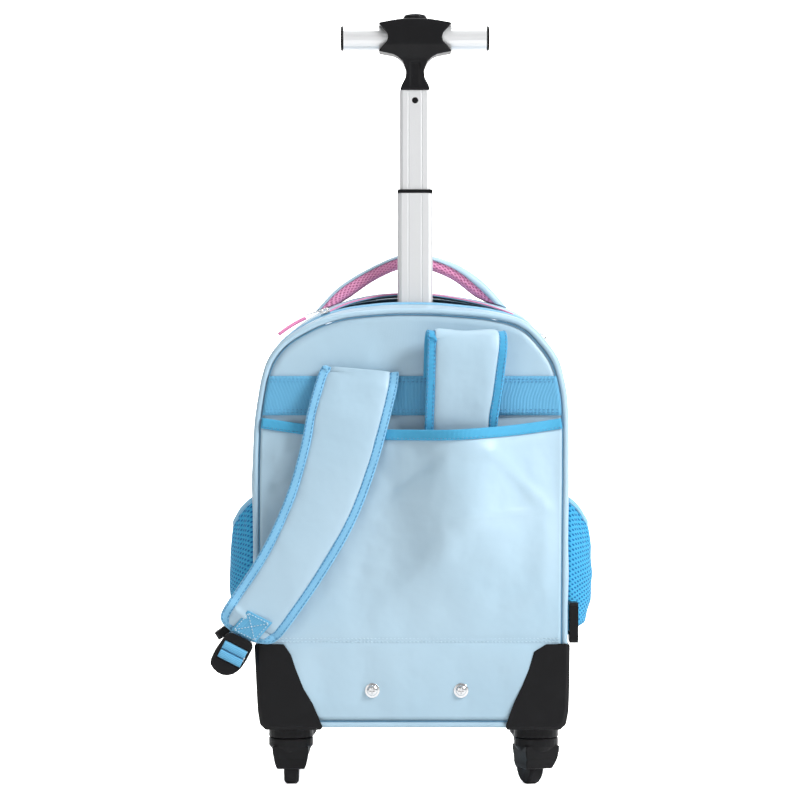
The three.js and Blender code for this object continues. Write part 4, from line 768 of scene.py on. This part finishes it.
def strap(name, frames, seed, edging):
    """A padded strap with its binding and a row of stitches along each edge of the binding."""
    centres, ahead, across, normal, half = frames
    angle = np.linspace(0, 2 * math.pi, 36, endpoint=False)
    wide = squared(np.cos(angle), 0.45)
    high = squared(np.sin(angle), 0.75)
    grid = centres[:, None] + across[:, None] * (wide[None, :, None] * (half[:, None, None] + 1.0))
    thick = STRAP_THICK / 2 * high[None, :] * np.ones((len(centres), 1))
    thick = thick + wrinkles(grid, STRAP_WRINKLES, seed) * np.sign(high)[None, :]
    grid = grid + normal[:, None] * thick[..., None]
    pad = surface(f"{name}_pad", grid, strap_cloth, "body_cloth", wrap_v=True, replaced=[name])

    def edge_path(offset):
        """The path along both sides and round the end, and the way out of the strap's face at each point."""
        left = (centres - across * (half + offset)[:, None])[::3]
        right = (centres + across * (half + offset)[:, None])[::3]
        inner = max(half[-1] - 14, 6)
        end = centres[-1] + ahead[-1] * offset
        turn = [end - across[-1] * inner, end, end + across[-1] * inner]
        path = spline(np.vstack([left, turn, right[::-1]]), 4)
        out = spline(np.vstack([normal[::3], [normal[-1]] * 3, normal[::3][::-1]]), 4)
        relax(path, BINDING_PASSES)
        return path, unit(out)

    rim_path, out = edge_path(RIM_WIDTH / 2)
    side = unit(np.cross(unit(np.gradient(rim_path, axis=0)), out))
    rim_grid = section_grid(rim_path, side, out, rounded(RIM_WIDTH, RIM_THICK, 20, 0.55))
    rim_grid = rim_grid + out[:, None] * wrinkle(rim_grid, 12, 0.45, seed)[..., None]
    surface(f"{name}_binding_cloth", rim_grid, edging, "blue_trim", wrap_v=True,
            replaced=[f"{name}_binding"])
    for number, offset in enumerate((1.7, RIM_WIDTH - 1.6)):
        path, lift = edge_path(offset)
        row = path + lift * (RIM_THICK / 2 + 0.1)
        stitches(f"{name}_stitches_{number}", [row], blue_thread, length=3.6, width=1.2)


def left_centres():
    """The hanging strap's middle line and its width at each point."""
    table = spline(LEFT_STRAP, 9)
    x, z = table[:, 0] * HALF_WIDTH, BOTTOM + table[:, 1] * HEIGHT
    seat = back_face(x[0], z[0]) - 2 * GAP - 1.7 - STRAP_THICK / 2
    return np.column_stack([x, seat - table[:, 3] * LEFT_LIFT, z]), table[:, 2] * LEFT_WIDTH


def build_left_strap():
    frames = strap_frames(*left_centres(), np.array([1.0, 0, 0]))
    strap("left_strap", frames, 1.0, binding)


def patch_point(share, wide, lift=0.0):
    """A point of the patch over the strap's lower end, share of the way up and wide of its middle."""
    centres, _ = left_centres()
    shift = PATCH["near_shift"] + (PATCH["far_shift"] - PATCH["near_shift"]) * share
    spot = lock_point(LOCK["half"] + PATCH["near"] + share * PATCH["length"], 0, wide + shift)
    spot[1] = np.interp(share, (0, 1), (centres[-1, 1], centres[PATCH["top_row"], 1]))
    spot[1] -= STRAP_THICK / 2 + PATCH["stand"] + lift
    return spot


def build_patch():
    half = PATCH["half"]
    wides = np.linspace(-half, half, 12)
    grid = np.array([[patch_point(share, wide) for wide in wides] for share in np.linspace(1, 0, 12)])
    surface("strap_patch", grid, webbing, "blue_trim", replaced=["left_strap_patch"], thick=1.4)
    low, high, wide = PATCH["seam_share"], 1 - PATCH["seam_share"], half - PATCH["seam"]
    square = [(high, -wide), (high, wide), (low, wide), (low, -wide), (high, -wide)]
    lines = [*zip(square, square[1:]), (square[0], square[2]), (square[1], square[3])]
    paths = [[patch_point(*spot, 1.0) for spot in line] for line in lines]
    stitches("patch_stitches", paths, thread, step=3.2, length=2.4)


def build_strap_webbing():
    """The webbing's loop in the ladder lock, and its run through the lock and on to the clip."""
    wide = lock_point(0, 0, 1) - lock_point(0, 0, 0)
    loop, runs = (
        [lock_point(along * LOCK["half"], off * LOCK["half"]) for along, off in table]
        for table in (LOCK_LOOP, LOCK_PASS)
    )
    ribbon("lock_loop_webbing", loop, [wide] * len(loop), ["lock_webbing"])
    way_on = CLIP_END - runs[-1]
    ways = [wide] * len(runs) + [np.array(way, float) for _, way in ADJUSTER]
    runs += [runs[-1] + way_on * np.array(share) for share, _ in ADJUSTER]
    ribbon("adjuster_cloth", runs, ways, ["adjuster_webbing"])


def lock_point(along, off, across=0.0):
    """A point of the ladder lock, which is turned in the plane of the back."""
    centre = left_centres()[0][-1] - (LOCK["outward"], LOCK["proud"], LOCK["drop"])
    turn = math.radians(LOCK["turn"])
    sine, cosine = math.sin(turn), math.cos(turn)
    return centre + (along * sine + across * cosine, off, along * cosine - across * sine)


def ribbon(name, points, ways, nodes):
    """Webbing through points, each with the way across it."""
    table = spline(np.column_stack([np.array(points), np.array(ways)]), 4)
    path, way = table[:, :3], table[:, 3:]
    ahead = unit(np.gradient(path, axis=0))
    way = unit(way - ahead * (way * ahead).sum(1)[:, None])
    grid = section_grid(path, way, np.cross(ahead, way), rounded(*WEBBING, 16, 0.35))
    return surface(name, grid, webbing, "blue_trim", wrap_v=True, replaced=nodes)


def build_right_strap():
    table = spline(RIGHT_STRAP, 8)
    centres = table[:, :3] * (HALF_WIDTH, -FOLD_DEPTH, HEIGHT) + (0, 0, BOTTOM)
    frames = strap_frames(centres, table[:, 3] * RIGHT_WIDTH, np.array([1.0, 0, 0.02]))
    # The folded strap's binding takes the darker copy of the binding's blue, as painted shade
    strap("right_strap", frames, 4.0, shaded_binding)


# Back, carry handle and side pockets

def seam_across(level, count):
    """Places across the back at a level, between the ends that a seam has there."""
    return np.linspace(-side_at(level, -1) + SEAM_MARGIN, side_at(level, 1) - SEAM_MARGIN, count)


def build_band():
    x = np.linspace(-1, 1, 90)
    z = np.linspace(*BAND, 10)
    left, right = side_at(z, -1) - BAND_INSET, side_at(z, 1) - BAND_INSET
    grid = np.zeros((len(x), len(z), 3))
    grid[..., 0] = (x[:, None] + 1) / 2 * (left + right) - left
    grid[..., 2] = z
    grid[..., 1] = back_face(grid[..., 0], grid[..., 2]) - BAND_STAND + wrinkle(grid, 40, 0.5, 2.0)
    surface("band_webbing", grid, webbing, "blue_trim", replaced=["webbing_band"], thick=1.5)
    lines = []
    for level in (*(BAND[0] + inset for inset in BAND_SEAMS), *(BAND[1] - inset for inset in BAND_SEAMS)):
        xs = seam_across(level, 60)
        lines.append(np.column_stack([xs, back_face(xs, level) - 2.2, np.full(60, level)]))
    stitches("band_stitches", lines, blue_thread)


def stow_grid(across, ups):
    """Flat points of the stow pocket, from shares of the way across and of the way up."""
    across = across[:, None]
    level = STOW_BOTTOM + ups * (stow_top(across * STOW_REACH) - STOW_BINDING - STOW_BOTTOM + STOW_TUCK)
    corner = STOW["corner"] * smooth((STOW["corner_top"] - level) / STOW["corner_ramp"])
    inset = STOW_INSET + corner * STOW["corner_share"]
    return np.stack([across * (edge_at(across, level) - inset), 0 * level, level], axis=-1)


def build_stow_pocket():
    across = np.linspace(-1, 1, 110)
    ups = np.linspace(0, 1, 84)
    grid = stow_grid(across, ups)
    x, z = grid[..., 0], grid[..., 2]
    up_fade = smooth(ups / STOW_FADE["up"]) * smooth((1 - ups) / STOW_FADE["up"])
    fade = smooth((1 - np.abs(across)) / STOW_FADE["across"])[:, None] * up_fade
    pinch = SEAM_PINCH * bell(z - LOWER_SEAM, SEAM_REACH)
    pleats = PLEATS["height"] * np.sin(x / PLEATS["period"] + 2 * np.sin(x / PLEATS["stray"]))
    pleats = pleats * smooth((z - PLEATS["low"]) / PLEATS["ramp"]) * bell(x - PLEATS["x"], PLEATS["reach"])
    folds = sum(wrinkle(grid * (1, 1, up), size, depth, seed) for up, size, depth, seed in STOW_WRINKLES)
    calm = 1 - bell(z - LOWER_SEAM, SEAM_CALM)
    rise = 0.5 + 0.5 * smooth((z - FOLD_RISE["low"]) / FOLD_RISE["ramp"])
    folds = (folds - fold_height(x, z)) * rise * calm
    grid[..., 1] = stow_face(x, z) + STOW_SINK + (folds + pleats - FOLD_LIFT) * fade + pinch
    surface("stow_cloth", grid, body_cloth, "body_cloth", replaced=["stow_pocket"], thick=1.4)
    xs = seam_across(LOWER_SEAM, 90)
    face = stow_face(xs, LOWER_SEAM) - 0.6
    seams = [np.column_stack([xs, face, np.full(90, LOWER_SEAM + above)]) for above in (3.4, -0.2)]
    stitches("lower_seam_stitches", seams, thread, step=4.0, length=2.8, width=0.6, height=0.4)


def build_stow_hem():
    across = np.linspace(-1, 1, 120)
    level = stow_top(across * STOW_REACH) - STOW_BINDING / 2
    x = across * (edge_at(across, level) - STOW_INSET)
    path = np.column_stack([x, stow_face(x, level) - 0.4, level])
    path[:, 2] += wrinkle(path, 60, 1.0, 3.0)
    sweep("stow_hem", path, OUT_OF_BACK, rounded(STOW_BINDING, 3.8, 20, 0.5), hem_blue, "blue_trim",
          replaced=["stow_binding"])
    lower = path + (0, -2.1, -STOW_BINDING / 2 + 1.8)
    stitches("stow_hem_stitches", [lower], blue_thread)


def build_handle():
    table = spline(HANDLE_ROWS, 10)
    size, base = (HANDLE["half_span"], HANDLE["rise"]), (0, HANDLE["base"])
    outer, inner = table[:, :2] * size + base, table[:, 2:4] * size + base
    middle, reach = (outer + inner) / 2, (outer - inner) / 2
    y = HANDLE["y"] + HANDLE["depth"] / 2

    def shell(name, angles, wide, high, power, material, slot_name, nodes, closed):
        across = squared(np.cos(angles), power) * wide
        out = squared(np.sin(angles), power) * high
        grid = np.zeros((*angles.shape, 3))
        grid[..., 0] = middle[:, :1] + reach[:, :1] * out
        grid[..., 1] = y + across * HANDLE["depth"] / 2
        grid[..., 2] = middle[:, 1:] + reach[:, 1:] * out
        thick = 0 if closed else 1.3
        return surface(name, grid, material, slot_name, wrap_v=closed, replaced=nodes, thick=thick)

    full = np.broadcast_to(np.linspace(0, 2 * math.pi, 32, endpoint=False), (len(table), 32))
    pad = shell("handle_net", full, 0.94, 0.93, 0.6, pink_net, "pink_mesh", ["handle_pad"], True)
    edge = np.arcsin(np.clip(1 - 2 * table[:, 4], 0.02, 1) ** 2)
    top = edge[:, None] + (math.pi - 2 * edge[:, None]) * np.linspace(0, 1, 20)[None, :]
    shell("handle_cloth", top, 1.0, 1.02, 0.5, piping_cloth, "body_cloth", ["handle_cover"], False)


def build_side_pocket(side):
    name = "left" if side < 0 else "right"
    along = np.linspace(0, 1, 46)
    ups = np.linspace(0, 1, 44)
    puff = np.interp(ups, POCKET_PROFILE[:, 0], POCKET_PROFILE[:, 1])
    top = POCKET["top"] - POCKET["sag"] * np.sin(math.pi * along)
    z = POCKET["bottom"] + (top[:, None] - POCKET["bottom"]) * ups[None, :]
    sag = np.sin(math.pi * along) ** 0.7
    reach = side_at(z, side) + GAP + 0.9 + POCKET["puff"] * puff[None, :] * sag[:, None]
    depth = POCKET["back"] + (POCKET["front"] - POCKET["back"]) * along
    grid = np.stack([side * reach, np.broadcast_to(depth[:, None], z.shape), z], axis=-1)
    gathered = smooth((ups - 0.55) / 0.45) + 0.5 * smooth((0.2 - ups) / 0.2)
    gather = POCKET_GATHER * np.sin(along * POCKET_WAVES)[:, None] * gathered[None, :]
    grid[..., 0] += side * (gather + wrinkle(grid, 24, 1.6, 4.0)) * smooth(sag / 0.5)[:, None]
    surface(f"{name}_pocket_net", grid, blue_net, "blue_mesh", replaced=[f"{name}_side_pocket"], thick=1.1)
    hem = grid[:, -1] + np.array([side * 0.6, 0, 2.2])
    relax(hem, HEM_PASSES)
    sweep(f"{name}_pocket_elastic", hem, (side, 0, 0), rounded(6.5, 3.2, 14, 0.6), elastic, "blue_trim",
          replaced=[f"{name}_side_pocket_hem"])


def build_side_tabs():
    for name, side in (("left", -1), ("right", 1)):
        low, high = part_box(f"{name}_clip_tab")
        low, high = np.array(low) * 1000 - SHIFT, np.array(high) * 1000 - SHIFT
        middle = (low + high) / 2
        path = np.array([(middle[0], middle[1], up) for up in np.linspace(low[2], high[2], 14)])
        section = rounded(high[1] - low[1], WEBBING[1], 14, 0.35)
        sweep(f"{name}_tab_webbing", path, (side, 0, 0), section, webbing, "blue_trim",
              replaced=[f"{name}_clip_tab"])


# Hard pieces, copied from the frame

def soften(node, material, body, width=0.7):
    """A copy of a CAD node with its edges rounded, which stands for it."""
    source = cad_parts[node]
    mesh = source.data.copy()
    mesh.name = f"{node}_shape"
    work = bmesh.new()
    work.from_mesh(mesh)
    bmesh.ops.remove_doubles(work, verts=work.verts, dist=1e-6)
    bmesh.ops.dissolve_limit(work, angle_limit=math.radians(1.5), verts=work.verts, edges=work.edges)
    work.to_mesh(mesh)
    work.free()
    mesh.materials.clear()
    obj = bpy.data.objects.new(f"{node}_finish", mesh)
    bevel = obj.modifiers.new("edges", "BEVEL")
    bevel.width = width / 1000
    bevel.segments = 2
    bevel.limit_method = "ANGLE"
    bevel.angle_limit = math.radians(32)
    finish_mesh(obj, material, body, [node])
    normals = obj.modifiers.new("normals", "WEIGHTED_NORMAL")
    normals.keep_sharp = True
    return obj


def mould(node, material, body, voxel):
    """A copy of a CAD node with all its edges and facets rounded off, as moulded plastic has them."""
    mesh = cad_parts[node].data.copy()
    mesh.name = f"{node}_shape"
    mesh.materials.clear()
    obj = bpy.data.objects.new(f"{node}_finish", mesh)
    skin = obj.modifiers.new("skin", "REMESH")
    skin.mode = "VOXEL"
    skin.voxel_size = voxel / 1000
    skin.use_smooth_shade = True
    soft = obj.modifiers.new("soft", "SMOOTH")
    soft.factor = 0.5
    soft.iterations = MOULD_PASSES
    return finish_mesh(obj, material, body, [node])


def build_hard_pieces():
    for side in ("left", "right"):
        for end in ("rear", "front"):
            corner = f"{side}_{end}"
            mould(f"{corner}_guard", black_plastic, "bag", 0.9)
            mould(f"{corner}_fork", black_plastic, f"{corner}_caster", 0.8)
            soften(f"{corner}_wheel", rubber, f"{corner}_roller", 0.5)
        soften(f"{side}_clip", black_plastic, "bag")
        soften(f"{side}_rivet", bright_metal, "bag", 0.3)
        soften(f"bar_cap_{side}", grip_plastic, "mast_inner", 0.5)
    soften("ladder_lock", black_plastic, "bag", 0.8)
    mould("grip_hub", grip_plastic, "mast_inner", 0.8)
    button = soften("grip_button", grip_plastic, "button", 0.5)
    middle = sum((vert.co for vert in button.data.vertices), Vector()) / len(button.data.vertices)
    for vert in button.data.vertices:
        vert.co.x = middle.x + (vert.co.x - middle.x) * BUTTON_SHARE
        vert.co.y = middle.y + (vert.co.y - middle.y) * BUTTON_SHARE
    soften("mast_collar", black_plastic, "mast_middle", 0.4)
    soften("tube_pin", black_plastic, "mast_inner", 0.3)
    for node in ("mast_sleeve", "mast_middle_tube", "mast_inner_tube"):
        dress(node, tube_metal)
    dress("grip_bar", bar_metal)


def dress(node, material):
    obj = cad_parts[node]
    for slot_of in obj.material_slots:
        slot_of.material = material


# Room, light and camera

def build_room():
    floor = Nodes("floor_look", (0.92, 0.92, 0.92), 0.75)
    floor.shader.inputs["Emission Color"].default_value = (1, 1, 1, 1)
    seen = floor.node("ShaderNodeLightPath").outputs["Is Camera Ray"]
    floor.link(floor.maths("MULTIPLY", seen, ROOM_GLOW), floor.shader.inputs["Emission Strength"])
    verts = [(x, y, z) for y, z in ROOM_PROFILE for x in (-ROOM_HALF, ROOM_HALF)]
    faces = [(2 * k, 2 * k + 1, 2 * k + 3, 2 * k + 2) for k in range(len(ROOM_PROFILE) - 1)]
    mesh = bpy.data.meshes.new("room")
    mesh.from_pydata(verts, [], faces)
    for polygon in mesh.polygons:
        polygon.use_smooth = True
    room = bpy.data.objects.new("room", mesh)
    mesh.materials.append(floor.material)
    scene.collection.objects.link(room)
    world = bpy.data.worlds.new("studio")
    scene.world = world
    world.use_nodes = True
    world.node_tree.nodes["Background"].inputs["Color"].default_value = (1, 1, 1, 1)
    world.node_tree.nodes["Background"].inputs["Strength"].default_value = WORLD_STRENGTH


def area_light(name, place, aim, size, power):
    data = bpy.data.lights.new(name, "AREA")
    data.shape = "RECTANGLE"
    data.size, data.size_y = size
    data.energy = power
    obj = bpy.data.objects.new(name, data)
    obj.location = place
    obj.rotation_mode = "QUATERNION"
    obj.rotation_quaternion = (Vector(aim) - Vector(place)).to_track_quat("-Z", "Y")
    scene.collection.objects.link(obj)


def build_light():
    for light in LIGHTS:
        area_light(**light)


def build_camera():
    scene.view_settings.view_transform = "Standard"
    data = bpy.data.cameras.new("camera")
    data.lens = CAMERA["lens"]
    data.sensor_width = CAMERA["sensor"]
    data.clip_end = 40
    camera = bpy.data.objects.new("camera", data)
    camera.location = to_row(CAMERA["at"])
    camera.rotation_euler = (math.pi / 2, 0, 0)
    scene.collection.objects.link(camera)
    scene.camera = camera


build_camera()
build_pull()
build_shell()
build_zips()
slider("slot_slider_body", "slot_slider", 1, SLIDER["tongue"])
slider("main_slider_body", "main_slider", -1)
build_band()
build_stow_pocket()
build_stow_hem()
build_left_strap()
build_patch()
build_strap_webbing()
build_right_strap()
build_handle()
build_side_pocket(-1)
build_side_pocket(1)
build_side_tabs()
build_hard_pieces()
build_room()
build_light()
